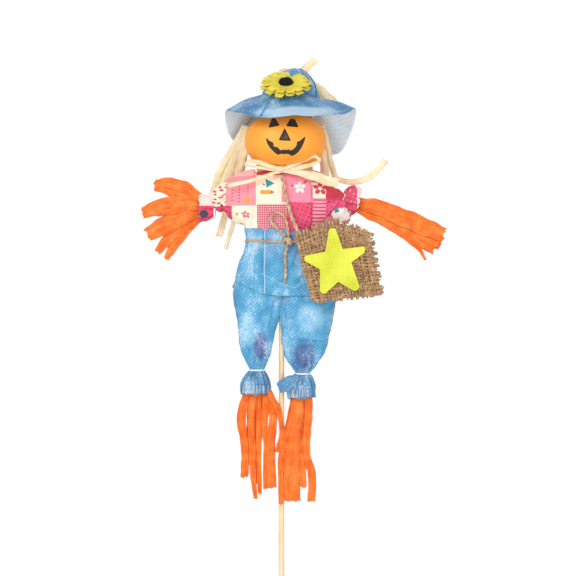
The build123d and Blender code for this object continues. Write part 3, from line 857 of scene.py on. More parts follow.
# The trouser print also carries painted shade and painted highlights among its marks.
TROUSER_PRINT_AND_PAINTED_LIGHT = DenimPrint(
    "trouser_denim_print_and_painted_light", "#327fae", "#58a4cb", "#8cc3df", fleck="#dceef8", fade=0.6,
    motifs=(
        # Painted shade: dark strips down the outer sides of the hips and legs, first on the left, then on the
        # right.
        *(Motif(-41.0, z, 5.5 - 1.5 * i, 52, "#2c6c9e", mark=Mark.BLOCK, strength=0.22) for i, z in
          enumerate((312, 310, 306))),
        *(Motif(44.5, z, 5.5 - 1.5 * i, 50, "#2c6c9e", mark=Mark.BLOCK, strength=0.22) for i, z in
          enumerate((304, 302, 300))),
        Motif(3.5, 350, 17.0, 11.0, "#7a86b4", mark=Mark.BLOCK, strength=0.30),
        Motif(-22.4, 352, 4.2, 9.0, "#8d9cc2", mark=Mark.BLOCK, strength=0.25),
        Motif(-14.6, 336, 0.4, 26, "#2f6a96", mark=Mark.BLOCK, strength=0.6),
        Motif(-13.5, 336, 0.5, 26, "#d6eaf6", mark=Mark.BLOCK, strength=0.4),
        Motif(-21.6, 336, 0.4, 26, "#2f6a96", mark=Mark.BLOCK, strength=0.35),
        Motif(-8.4, 321.8, 9.1, 0.3, "#e9ebcf", mark=Mark.BLOCK, turn=-28.8, strength=0.25),
        Motif(5.2, 315.8, 5.8, 0.3, "#e9ebcf", mark=Mark.BLOCK, turn=-16, strength=0.25),
        Motif(14.8, 317.0, 4.9, 0.3, "#e9ebcf", mark=Mark.BLOCK, turn=35, strength=0.25),
        # Painted shade: a dark stroke along the fold just above the hips' hem on the left.
        Motif(-30.0, 316.0, 10.0, 0.6, "#24608f", mark=Mark.BLOCK, turn=-24, strength=0.5),
        # Painted highlights: soft pale ovals on the left leg above the knee and on the left hip.
        Motif(-27.0, 281.0, 7.0, 14.0, "#b5dbef", strength=0.22),
        Motif(-26.5, 335.0, 6.0, 13.0, "#b5dbef", strength=0.22),
        Motif(-16.4, 267.5, 6.8, 13.0, "#4a5590", strength=0.85),
        Motif(18.0, 259.5, 10.0, 14.5, "#4a5590", strength=0.78),
        # Painted highlight: a soft pale oval on the right thigh.
        Motif(23.0, 290.0, 12.0, 12.0, "#bfe0f2", strength=0.3),
        Motif(20.0, 272.6, 14.0, 0.5, "#2f6a96", mark=Mark.BLOCK, turn=-4, strength=0.5),
        Motif(22.0, 341.0, 0.45, 20, "#39749f", mark=Mark.BLOCK, strength=0.4),
    ),
)


# --- Builders -----------------------------------------------------------------------------
def dress(piece: Piece, body: str, slot: str, nodes: Sequence[str], *finishes: Finish) -> Piece:
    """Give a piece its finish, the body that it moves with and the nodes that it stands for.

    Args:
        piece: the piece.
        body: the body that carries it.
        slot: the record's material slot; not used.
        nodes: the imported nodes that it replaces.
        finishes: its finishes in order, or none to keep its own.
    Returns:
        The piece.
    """
    if finishes:
        piece.data.materials.clear()
        for finish in finishes:
            piece.data.materials.append(material_of(finish))
    if nodes:
        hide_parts(*nodes)
    LOG.info("%s rides on %s", piece.name, body)
    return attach(piece, body)


@dataclass(frozen=True)
class Ring:
    """One station of a cloth tube: its middle, half width, half depth and how deep its pleats are."""

    x: float
    y: float
    z: float
    half: float
    depth: float
    pleat: float = 0.0


@dataclass(frozen=True)
class ClothTube:
    """A tube of cloth through rings, with pleats, a rumpled surface and a printed face towards -Y."""

    name: str
    rings: tuple[Ring, ...]
    pleats: int = 11
    rumple: float = 0.5
    lump: float = 11.0
    squareness: float = 2.2
    thickness: float = 0.5
    seed: float = 0.0
    rows: int = 90
    columns: int = 145
    hem: tuple[Spot, ...] = ()
    ragged: float = 0.0
    guard: bool = False
    creases: tuple[tuple[float, float, float, float, float, float], ...] = ()

    def creased(self, places: np.ndarray, front: np.ndarray) -> np.ndarray:
        """How far each place sinks into the creases on the front.

        Args:
            places: places in millimetres.
            front: how much each place faces the front.
        Returns:
            The depth at each place, negative on the ridge beside a crease.
        """
        depth = np.zeros(places.shape[:-1])
        flat = places[..., ::2]
        for x0, z0, x1, z1, deep, width in self.creases:
            start, run = np.array([x0, z0]), np.array([x1 - x0, z1 - z0])
            along = np.clip(((flat - start) @ run) / (run @ run), 0, 1)
            gap = flat - start - along[..., None] * run
            side = (gap[..., 0] * run[1] - gap[..., 1] * run[0]) / np.linalg.norm(run)
            far = np.linalg.norm(gap, axis=-1)
            fade = np.clip(4 * along * (1 - along) + 0.25, 0, 1)
            depth += deep * fade * (np.exp(-((far / width) ** 2)) - 0.6 * np.exp(
                -(((side - 1.7 * width) / width) ** 2) - (np.maximum(far - 3 * width, 0) / width) ** 2))
        return depth * np.clip(front, 0, 1)

    def mesh(self) -> Piece:
        """Make the tube.

        Returns:
            The piece, a shell of the cloth's thickness.
        """
        table = np.array([[r.x, r.y, r.z, r.half, r.depth, r.pleat] for r in self.rings])
        steps = np.linalg.norm(np.diff(table[:, :3], axis=0), axis=1)
        keys = np.concatenate([[0.0], np.cumsum(np.maximum(steps, 0.3))])
        rows = smooth_values(keys, table, np.linspace(0, keys[-1], self.rows))
        middle, half, depth, pleat = rows[:, :3], rows[:, 3:4], rows[:, 4:5], np.maximum(rows[:, 5:6], 0)
        tangent = unit(np.gradient(middle, axis=0))
        across = unit(np.cross(FRONT, tangent))
        front = np.cross(tangent, across)
        turn = np.linspace(-math.pi / 2, 1.5 * math.pi, self.columns)[None, :]
        power = 2 / self.squareness
        c = np.sign(np.cos(turn)) * np.abs(np.cos(turn)) ** power
        s = np.sign(np.sin(turn)) * np.abs(np.sin(turn)) ** power
        out = c[..., None] * across[:, None] + s[..., None] * front[:, None]
        flat = middle[:, None] + (half * c)[..., None] * across[:, None] + (depth * s)[..., None] * front[:, None]
        wave = np.cos(self.pleats * turn + self.seed + 0.05 * np.arange(self.rows)[:, None])
        wave = 0.62 * wave + 0.38 * np.cos(round(self.pleats * 1.63) * turn + 2.1 * self.seed)
        bumps = self.rumple * rumple(flat, self.lump, self.seed + 1) + 0.35 * self.rumple * rumple(
            flat, self.lump / 3, self.seed + 2
        )
        calm = np.minimum(1.0, np.minimum(half, depth) / 8)
        sunk = self.creased(flat, 2.2 * s) if self.creases else 0.0
        points = flat + (pleat * wave + bumps * calm - sunk)[..., None] * out
        length = np.concatenate(
            [np.zeros((self.rows, 1)), np.cumsum(np.linalg.norm(np.diff(flat, axis=1), axis=2), axis=1)], axis=1
        )
        signed = length[:, [self.columns // 2]] - length
        uv = (middle[:, None, ::2] + signed[..., None] * across[:, None, ::2]) * UV_PER_MM
        late = np.clip((np.arange(self.rows) / (self.rows - 1) - 0.72) / 0.28, 0, 1)[:, None]
        shift = np.zeros((self.rows, self.columns))
        if self.hem:
            xs, rise = zip(*self.hem)
            shift = shift - late * np.interp(points[..., 0], xs, rise)
        if self.ragged:
            ring = np.stack([np.cos(turn), np.sin(turn), 0 * turn], axis=2) * 6
            shift = shift + late**3 * self.ragged * rumple(ring, 1.6, self.seed)
        points = points + shift[..., None] * tangent[:, None]
        uv = uv + shift[..., None] * tangent[:, None, ::2] * UV_PER_MM
        if self.guard:
            points = clear_of_stick(points)
        points[:, -1] = points[:, 0]
        piece = surface(self.name, points, uv, closed=True)
        face_away(piece, tuple(middle.mean(axis=0)))
        apply_modifier(piece, "SOLIDIFY", thickness=self.thickness * MM, offset=-1.0)
        return piece


def cut_below(piece: Piece, z: float, name: str) -> Piece:
    """Part off the faces below a height into a piece of their own.

    Args:
        piece: the piece.
        z: the height in millimetres.
        name: the parted piece's name.
    Returns:
        The parted piece.
    """
    mesh = piece.data
    low = np.array([polygon.center.z for polygon in mesh.polygons]) < z * MM
    only(piece)
    bpy.ops.object.mode_set(mode="EDIT")
    bpy.ops.mesh.select_mode(type="FACE")
    bpy.ops.mesh.select_all(action="DESELECT")
    bpy.ops.object.mode_set(mode="OBJECT")
    mesh.polygons.foreach_set("select", low)
    bpy.ops.object.mode_set(mode="EDIT")
    bpy.ops.mesh.separate(type="SELECTED")
    bpy.ops.object.mode_set(mode="OBJECT")
    parted = next(p for p in bpy.context.selected_objects if p is not piece)
    parted.name = parted.data.name = name
    return parted


@dataclass(frozen=True)
class Ribbon:
    """A strip of raffia, paper or cloth: its route, widths along it, the way it faces and how it is creased."""

    route: tuple[Point, ...]
    widths: tuple[float, ...]
    face: Point = FRONT
    arch: float = 0.12
    crinkle: float = 0.3
    groove: float = 1.6
    twist: float = 0.0
    ragged: float = 0.8
    teeth: float = 0.0
    seed: float = 0.0
    rows: int = 48
    columns: int = 7

    def mesh(self) -> Piece:
        """Make the strip, without thickness."""
        path = smooth_path(self.route, self.rows)
        tangent = unit(np.gradient(path, axis=0))
        side = unit(np.cross(tangent, self.face))
        up = np.cross(side, tangent)
        t = np.linspace(0, 1, self.rows)
        angle = np.radians(self.twist) * t[:, None]
        side, up = side * np.cos(angle) + up * np.sin(angle), up * np.cos(angle) - side * np.sin(angle)
        width = np.interp(t, np.linspace(0, 1, len(self.widths)), self.widths)[:, None]
        k = np.linspace(-1, 1, self.columns)[None, :]
        run = travelled(path)[:, None]
        local = np.stack(np.broadcast_arrays(k * width / 2 / self.groove, run / 14, 0.0 * run * k), axis=2)
        fold = self.crinkle * rumple(local, 1.0, self.seed) - self.arch * width * k**2
        sway = 0.12 * width * rumple(np.stack(np.broadcast_arrays(0.0 * k, run / 9, 0.0 * run * k), axis=2), 1.0,
                                     self.seed + 5)
        points = (
            path[:, None] + (k * width / 2 + sway)[..., None] * side[:, None] + fold[..., None] * up[:, None]
        )
        edge = rumple(np.stack([k[0] * 3.1, 0 * k[0], 0 * k[0]], axis=1)[None], 1.0, self.seed)[0]
        near, far = np.clip(1 - t / 0.08, 0, 1)[:, None], np.clip((t - 0.86) / 0.14, 0, 1)[:, None]
        reach = far * (self.ragged * edge - self.teeth * (1 - np.cos(2 * math.pi * (k * 1.5 + 0.5))) / 2)
        reach = reach - near * self.ragged * edge
        points = points + reach[..., None] * tangent[:, None]
        uv = np.stack(np.broadcast_arrays(k * width / 2 + 9 * self.seed, run), axis=2) * UV_PER_MM
        return surface("ribbon", points, uv)


def ribbons(name: str, strips: Iterable[Ribbon], thickness: float) -> Piece:
    """Make strips into one piece with a thickness.

    Args:
        name: the piece's name.
        strips: the strips.
        thickness: their thickness in millimetres.
    Returns:
        The piece.
    """
    piece = join([strip.mesh() for strip in strips], name)
    apply_modifier(piece, "SOLIDIFY", thickness=thickness * MM, offset=0.0)
    return piece


@dataclass(frozen=True)
class Strand:
    """A thread of oval section along a path."""

    half_width: float
    half_height: float
    around: int = 8

    def mesh(self, path: np.ndarray, start: Point, seed: float = 0.0) -> Piece:
        """Make the thread.

        Args:
            path: places along its middle, in millimetres.
            start: the way that its width points at the first place.
            seed: moves its fibre pattern.
        Returns:
            The thread with closed ends.
        """
        _, side, up = carried_frames(path, start)
        turn = np.linspace(0, 2 * math.pi, self.around + 1)[None, :, None]
        rows = len(path)
        taper = np.ones((rows, 1, 1))
        taper[0], taper[-1] = 0.0, 0.0
        swell = 1 + 0.12 * rumple(path, 1.7, seed)[:, None, None]
        ring = np.cos(turn) * side[:, None] * self.half_width + np.sin(turn) * up[:, None] * self.half_height
        points = path[:, None] + ring * taper * swell
        points[:, -1] = points[:, 0]
        run = travelled(path)
        around = np.linspace(0, 2 * math.pi * self.half_width, self.around + 1) + 5 * seed
        uv = np.stack(np.meshgrid(around, run), axis=2) * UV_PER_MM
        return surface("strand", points, uv, closed=True)


def outline_piece(name: str, outline: Sequence[tuple[float, float]], cuts: int) -> Piece:
    """Fill an outline drawn in the X-Z plane.

    Args:
        name: the piece's name.
        outline: its corners in millimetres.
        cuts: how finely each edge is divided.
    Returns:
        The flat piece at y = 0, facing -Y.
    """
    bpy.ops.object.select_all(action="DESELECT")
    bpy.ops.mesh.primitive_circle_add(vertices=len(outline), fill_type="NGON")
    piece = bpy.context.object
    piece.name = piece.data.name = name
    for corner, (x, z) in zip(piece.data.vertices, outline):
        corner.co = (x * MM, 0, z * MM)
    in_edit_mode(
        piece,
        lambda: bpy.ops.mesh.quads_convert_to_tris(),
        lambda: bpy.ops.mesh.subdivide(number_cuts=cuts),
        lambda: bpy.ops.mesh.normals_make_consistent(inside=False),
    )
    front = np.array([p.normal.y for p in piece.data.polygons])
    if front.mean() > 0:
        in_edit_mode(piece, lambda: bpy.ops.mesh.flip_normals())
    return piece


def reshape(piece: Piece, rule: Callable[[np.ndarray], np.ndarray]) -> None:
    """Move every point of a piece by a rule.

    Args:
        piece: the piece.
        rule: takes places in millimetres and gives new ones.
    """
    places = np.empty(len(piece.data.vertices) * 3)
    piece.data.vertices.foreach_get("co", places)
    moved = rule(places.reshape(-1, 3) / MM) * MM
    piece.data.vertices.foreach_set("co", moved.ravel())
    piece.data.update()


# --- Studio -------------------------------------------------------------------------------
@dataclass(frozen=True)
class Studio:
    """A level camera in front of the figure, a white surround and large soft lights."""

    target: Point = (5.2, 0.0, 314.2)
    distance: float = 1400.0
    frame_width: float = 460.8
    lamps: tuple[tuple[str, Point, float, float], ...] = (
        ("key", (-520, -900, 900), 620, 6.6), ("fill", (760, -820, 420), 700, 2.6),
        ("lift", (60, -900, -260), 600, 3.0), ("rim", (120, 620, 900), 500, 3.0),
    )

    def build(self) -> None:
        """Add the camera, the surround and the lights."""
        x, _, z = self.target
        bpy.ops.object.camera_add(location=(x * MM, -self.distance * MM, z * MM), rotation=(math.pi / 2, 0, 0))
        camera = bpy.context.object
        camera.data.sensor_width = 36.0
        camera.data.lens = 36.0 * self.distance / self.frame_width
        bpy.context.scene.camera = camera
        bpy.context.scene.view_settings.view_transform = "Standard"
        world = bpy.data.worlds.new("surround")
        bpy.context.scene.world = world
        world.use_nodes = True
        tree = world.node_tree
        tree.nodes.clear()
        seen = add_node(tree, "LightPath").outputs["Is Camera Ray"]
        power = add_node(tree, "MapRange", {"Value": seen, "To Min": 0.66, "To Max": 1.02}).outputs[0]
        surround = add_node(tree, "Background", {"Color": (1, 1, 1, 1), "Strength": power})
        add_node(tree, "OutputWorld", {"Surface": surround.outputs[0]})
        for name, place, size, watts in self.lamps:
            self.light(name, place, size, watts)

    def light(self, name: str, place: Point, size: float, watts: float) -> None:
        """Add one square light that faces the figure.

        Args:
            name: the light's name.
            place: where it stands.
            size: its side.
            watts: its power.
        """
        aim = Vector(self.target) - Vector(place)
        turn = aim.to_track_quat("-Z", "Y").to_euler()
        bpy.ops.object.light_add(type="AREA", location=Vector(place) * MM, rotation=turn)
        lamp = bpy.context.object
        lamp.name = name
        lamp.data.shape = "SQUARE"
        lamp.data.size = size * MM
        lamp.data.energy = watts


# --- Twine --------------------------------------------------------------------------------
@dataclass(frozen=True)
class Cord:
    """A piece of jute twine: its route in metres, what it is tied to and how it ends."""

    name: str
    route: tuple[Point, ...]
    diameter: float
    body: str
    far_end: str
    plies: int = 2
    brush: float = 0.0
    free: bool = True

    def centreline(self) -> np.ndarray:
        """Places along the route's smooth curve, in metres."""
        curve = bpy.data.curves.new(self.name + "_route", "CURVE")
        curve.dimensions = "3D"
        spline = curve.splines.new("NURBS")
        spline.points.add(len(self.route) - 1)
        for point, place in zip(spline.points, self.route):
            point.co = (*place, 1.0)
        spline.order_u = 3
        spline.use_endpoint_u = True
        curve.resolution_u = 24
        guide = bpy.data.objects.new(self.name + "_route", curve)
        mesh = bpy.data.meshes.new_from_object(guide)
        places = np.array([v.co[:] for v in mesh.vertices])
        bpy.data.objects.remove(guide)
        bpy.data.curves.remove(curve)
        bpy.data.meshes.remove(mesh)
        return places

    def build(self) -> None:
        line = self.centreline()
        run = travelled(line)
        count = int(run[-1] / MM / 0.45)
        even = np.linspace(0, run[-1], count)
        path = np.stack([np.interp(even, run, line[:, i]) for i in range(3)], axis=1) / MM
        _, side, up = carried_frames(path, TWINE_LEAN)
        thick = self.diameter / MM
        pitch = 3.4 * thick
        offset = thick * (0.24 if self.plies == 2 else 0.26)
        strands = []
        for ply in range(self.plies):
            angle = (2 * math.pi * (even / MM / pitch + ply / self.plies))[:, None]
            strand = path + offset * (np.cos(angle) * side + np.sin(angle) * up)
            strands.append(Strand(thick * 0.275, thick * 0.255, 10).mesh(strand, TWINE_LEAN, ply + 0.3))
        strands.extend(self.fuzz(path, side, up, thick))
        piece = join(strands, self.name)
        dress(piece, self.body, "jute", [self.name], JUTE)
        brush = self.frayed_end(path, side, up)

    def fuzz(self, path: np.ndarray, side: np.ndarray, up: np.ndarray, thick: float) -> list[Piece]:
        """Short fibres that stand off the twine.

        Args:
            path: the twine's middle.
            side: its sides.
            up: its normals.
            thick: its diameter.
        Returns:
            The fibres.
        """
        rng = np.random.default_rng(len(self.name) * 17 + len(path))
        ahead = unit(np.gradient(path, axis=0))
        hairs = []
        for _ in range(max(10, len(path) // 5)):
            i = int(rng.integers(2, len(path) - 2))
            angle = rng.uniform(0, 2 * math.pi)
            out = math.cos(angle) * side[i] + math.sin(angle) * up[i]
            root = path[i] + out * thick * 0.42
            tip = root + out * rng.uniform(0.3, 0.9) + ahead[i] * rng.uniform(-1.6, 1.6)
            middle = (root + tip) / 2 + ahead[i] * rng.uniform(0.1, 0.5)
            hairs.append(Strand(0.055, 0.055, 3).mesh(smooth_path([root, middle, tip], 5), side[i]))
        return hairs

    def frayed_end(self, path: np.ndarray, side: np.ndarray, up: np.ndarray) -> list[Piece]:
        """The brush of loose fibres at a cut end.

        Args:
            path: the twine's middle.
            side: its sides.
            up: its normals.
        Returns:
            The brush, or nothing where the end is tied.
        """
        if not self.brush:
            return []
        rng = np.random.default_rng(31)
        ahead = (path[-1] - path[-4]) / np.linalg.norm(path[-1] - path[-4])
        fibres = []
        for _ in range(18):
            angle, spread = rng.uniform(0, 2 * math.pi), rng.uniform(0.1, 0.9)
            out = math.cos(angle) * side[-1] + math.sin(angle) * up[-1]
            root = path[-3] + out * self.diameter / MM * 0.25 * spread
            tip = root + ahead * self.brush * rng.uniform(0.5, 1.0) + out * spread * 1.2
            middle = (root + tip) / 2 + out * 0.3
            fibres.append(Strand(0.13, 0.11, 4).mesh(smooth_path([root, middle, tip], 7), side[-1]))
        return [dress(join(fibres, self.name + "_brush"), self.body, "jute", [], JUTE)]


BELT_LOOP = (
    (0.0030, -0.0129, 0.3549), (-0.0010, -0.0131, 0.3595), (-0.0066, -0.0131, 0.3646),
    (-0.0093, -0.0132, 0.3690), (-0.0066, -0.0132, 0.3734), (-0.0012, -0.0132, 0.3739),
    (0.0029, -0.0132, 0.3702), (0.0049, -0.0131, 0.3636), (0.0056, -0.0129, 0.3552),
)
BELT_TAIL = (
    (0.0050, -0.0129, 0.3514), (0.0047, -0.0130, 0.3480), (0.0034, -0.0132, 0.3430),
    (0.0026, -0.0128, 0.3365), (0.0036, -0.0124, 0.3295), (0.0030, -0.0122, 0.3213),
)
STRAP_FRONT = (
    (0.0002, -0.0164, 0.4034), (0.0022, -0.0164, 0.3920), (0.0060, -0.0164, 0.3760),
    (0.0116, -0.0164, 0.3620), (0.0156, -0.0164, 0.3530),
)
STRAP_REAR = (
    (0.0065, 0.0125, 0.4046), (0.0220, 0.0166, 0.3976), (0.0430, 0.0174, 0.3886),
    (0.0546, 0.0138, 0.3780), (0.0546, 0.0060, 0.3686), (0.0496, -0.0064, 0.3640),
    (0.0436, -0.0164, 0.3626),
)


@dataclass(frozen=True)
class Twine:
    """The jute at the waist and the bag's strap."""

    belt_z: float = 351.4
    belt_half: float = 29.2
    belt_depth: float = 10.9
    knot: Point = (5.0, -12.3, 351.4)

    def build(self) -> None:
        """Make every cord, then the wrap and its knot."""
        cords = (
            Cord("strap_front", STRAP_FRONT, 0.0032, "bag", "object"),
            Cord("strap_rear", STRAP_REAR, 0.0032, "bag", "object"),
            Cord("belt_bow_loop", BELT_LOOP, 0.0024, "figure", "object"),
            Cord("belt_tail", BELT_TAIL, 0.0024, "figure", "bare", brush=5.0),
        )
        for cord in cords:
            cord.build()
        turn = np.linspace(0, 2 * math.pi, 17)[:-1]
        reach = np.abs(np.cos(turn)) ** 0.8 * np.sign(np.cos(turn))
        sag = 0.6 * np.sin(3 * turn)
        wrap = tuple(
            (float(self.belt_half * r * MM), float(-self.belt_depth * 1.03 * math.sin(a) * MM),
             float((self.belt_z + d) * MM))
            for r, a, d in zip(reach, turn, sag)
        )
        Cord("belt_twine", (*wrap, wrap[0]), 0.0020, "figure", "object", free=False).build()
        x, y, z = self.knot
        turns = (
            ((x - 3.6, y + 0.6, z - 1.6), (x - 1.6, y - 1.2, z + 1.8), (x + 1.4, y - 1.6, z + 1.6),
             (x + 3.0, y - 0.4, z - 1.4)),
            ((x - 2.6, y - 0.2, z + 2.4), (x - 0.6, y - 1.9, z + 0.2), (x + 0.8, y - 1.9, z - 1.2),
             (x + 2.6, y + 0.2, z - 2.6)),
            ((x - 1.4, y + 0.8, z - 3.0), (x + 0.1, y - 1.5, z - 1.9), (x + 1.0, y - 1.5, z + 2.0),
             (x + 0.2, y + 0.6, z + 3.0)),
        )
        strands = [Strand(1.15, 1.0, 12).mesh(smooth_path(t, 24), (0, -1, 0), i) for i, t in enumerate(turns)]
        dress(join(strands, "belt_knot"), "figure", "jute", ["belt_knot"], JUTE)


# --- Head and hat -------------------------------------------------------------------------
@dataclass(frozen=True)
class Head:
    """A flattened foam pumpkin with a printed jack-o'-lantern face."""

    centre: Point = (3.2, 0.0, 431.4)
    half: Point = (32.2, 32.0, 22.2)
    roundness: float = 2.3
    print_proud: float = 0.12
    eyes: tuple[tuple[Spot, ...], ...] = (
        ((-6.6, 449.6), (-5.6, 449.0), (-1.6, 442.0), (-2.2, 441.3), (-9.4, 439.9), (-10.0, 440.6)),
        ((8.6, 450.2), (9.4, 449.6), (13.3, 440.9), (12.8, 440.2), (4.4, 440.8), (4.0, 441.6)),
        ((2.3, 439.0), (3.1, 438.6), (7.3, 430.0), (6.9, 429.2), (-1.5, 429.6), (-1.9, 430.4)),
    )
    mouth: tuple[Spot, ...] = (
        (-12.2, 431.8), (-11.2, 431.2), (-8.6, 428.9), (-7.0, 428.4), (-5.9, 426.6), (-6.6, 425.6), (-4.8, 424.6),
        (-3.0, 424.4), (-1.2, 422.4), (0.5, 422.0), (0.9, 423.0), (2.0, 422.4), (5.0, 422.4), (6.0, 423.1),
        (6.6, 422.0), (8.6, 422.2), (11.0, 424.4), (12.0, 426.0), (12.3, 428.6), (14.4, 429.2), (16.4, 431.0),
        (18.8, 433.2), (18.6, 430.8), (17.4, 427.4), (15.6, 423.8), (13.2, 420.6), (10.4, 418.6), (7.4, 417.6),
        (6.9, 418.9), (3.2, 419.4), (1.6, 418.7), (1.2, 417.1), (-1.6, 418.0), (-5.2, 420.2), (-8.6, 423.6),
        (-11.2, 427.6),
    )

    def skin(self, places: np.ndarray, proud: float = 0.0) -> np.ndarray:
        """Put places on the front of the head.

        Args:
            places: places in millimetres, of which X and Z count.
            proud: how far above the skin they lie.
        Returns:
            The moved places.
        """
        x = (places[:, 0] - self.centre[0]) / self.half[0]
        z = (places[:, 2] - self.centre[2]) / self.half[2]
        power = self.roundness
        depth = np.sqrt(np.clip(1 - np.abs(x) ** power - np.abs(z) ** power, 0, 1) ** (2 / power))
        moved = places.copy()
        moved[:, 1] = self.centre[1] - self.half[1] * depth + places[:, 1] - proud
        return moved

    def build(self) -> None:
        """Make the head and its face."""
        bpy.ops.object.select_all(action="DESELECT")
        bpy.ops.mesh.primitive_uv_sphere_add(segments=128, ring_count=72, radius=MM)
        skull = bpy.context.object
        skull.name = skull.data.name = "head"

        def swell(ball: np.ndarray) -> np.ndarray:
            """Places on the head from places on a ball."""
            size = (np.abs(ball) ** self.roundness).sum(axis=1) ** (1 / self.roundness)
            shaped = ball / size[:, None] * np.array(self.half) + np.array(self.centre)
            return shaped + 0.18 * rumple(shaped, 9.0, 3.0)[:, None] * ball

        reshape(skull, swell)
        only(skull)
        bpy.ops.object.shade_smooth()
        dress(skull, "figure", "painted_foam", ["head"], HEAD_PAINT)
        names = ("eye_print_left", "eye_print_right", "nose_print", "mouth_print")
        for name, outline in zip(names, (*self.eyes, self.mouth)):
            self.mark(name, outline, 5, self.print_proud, 0.25, FACE_EDGE)
        for name, outline in zip(("eye_fill_left", "eye_fill_right", "nose_fill"), self.eyes):
            middle = np.mean(outline, axis=0)
            inner = [tuple(middle + 0.6 * (np.array(corner) - middle)) for corner in outline]
            self.mark(name, inner, 4, self.print_proud + 0.1, 0.15, FACE_PRINT)

    def mark(self, name: str, outline: Sequence[Spot], cuts: int, proud: float, thickness: float,
             finish: Finish) -> None:
        """Print one shape on the front of the head.

        Args:
            name: its name.
            outline: its corners in millimetres.
            cuts: how finely each edge is divided.
            proud: how far it stands off the skin.
            thickness: how thick the print is.
            finish: its finish.
        """
        mark = outline_piece(name, outline, cuts)
        reshape(mark, lambda places: self.skin(places, proud))
        apply_modifier(mark, "SOLIDIFY", thickness=thickness * MM, offset=-1.0)
        dress(mark, "figure", "painted_foam", [], finish)


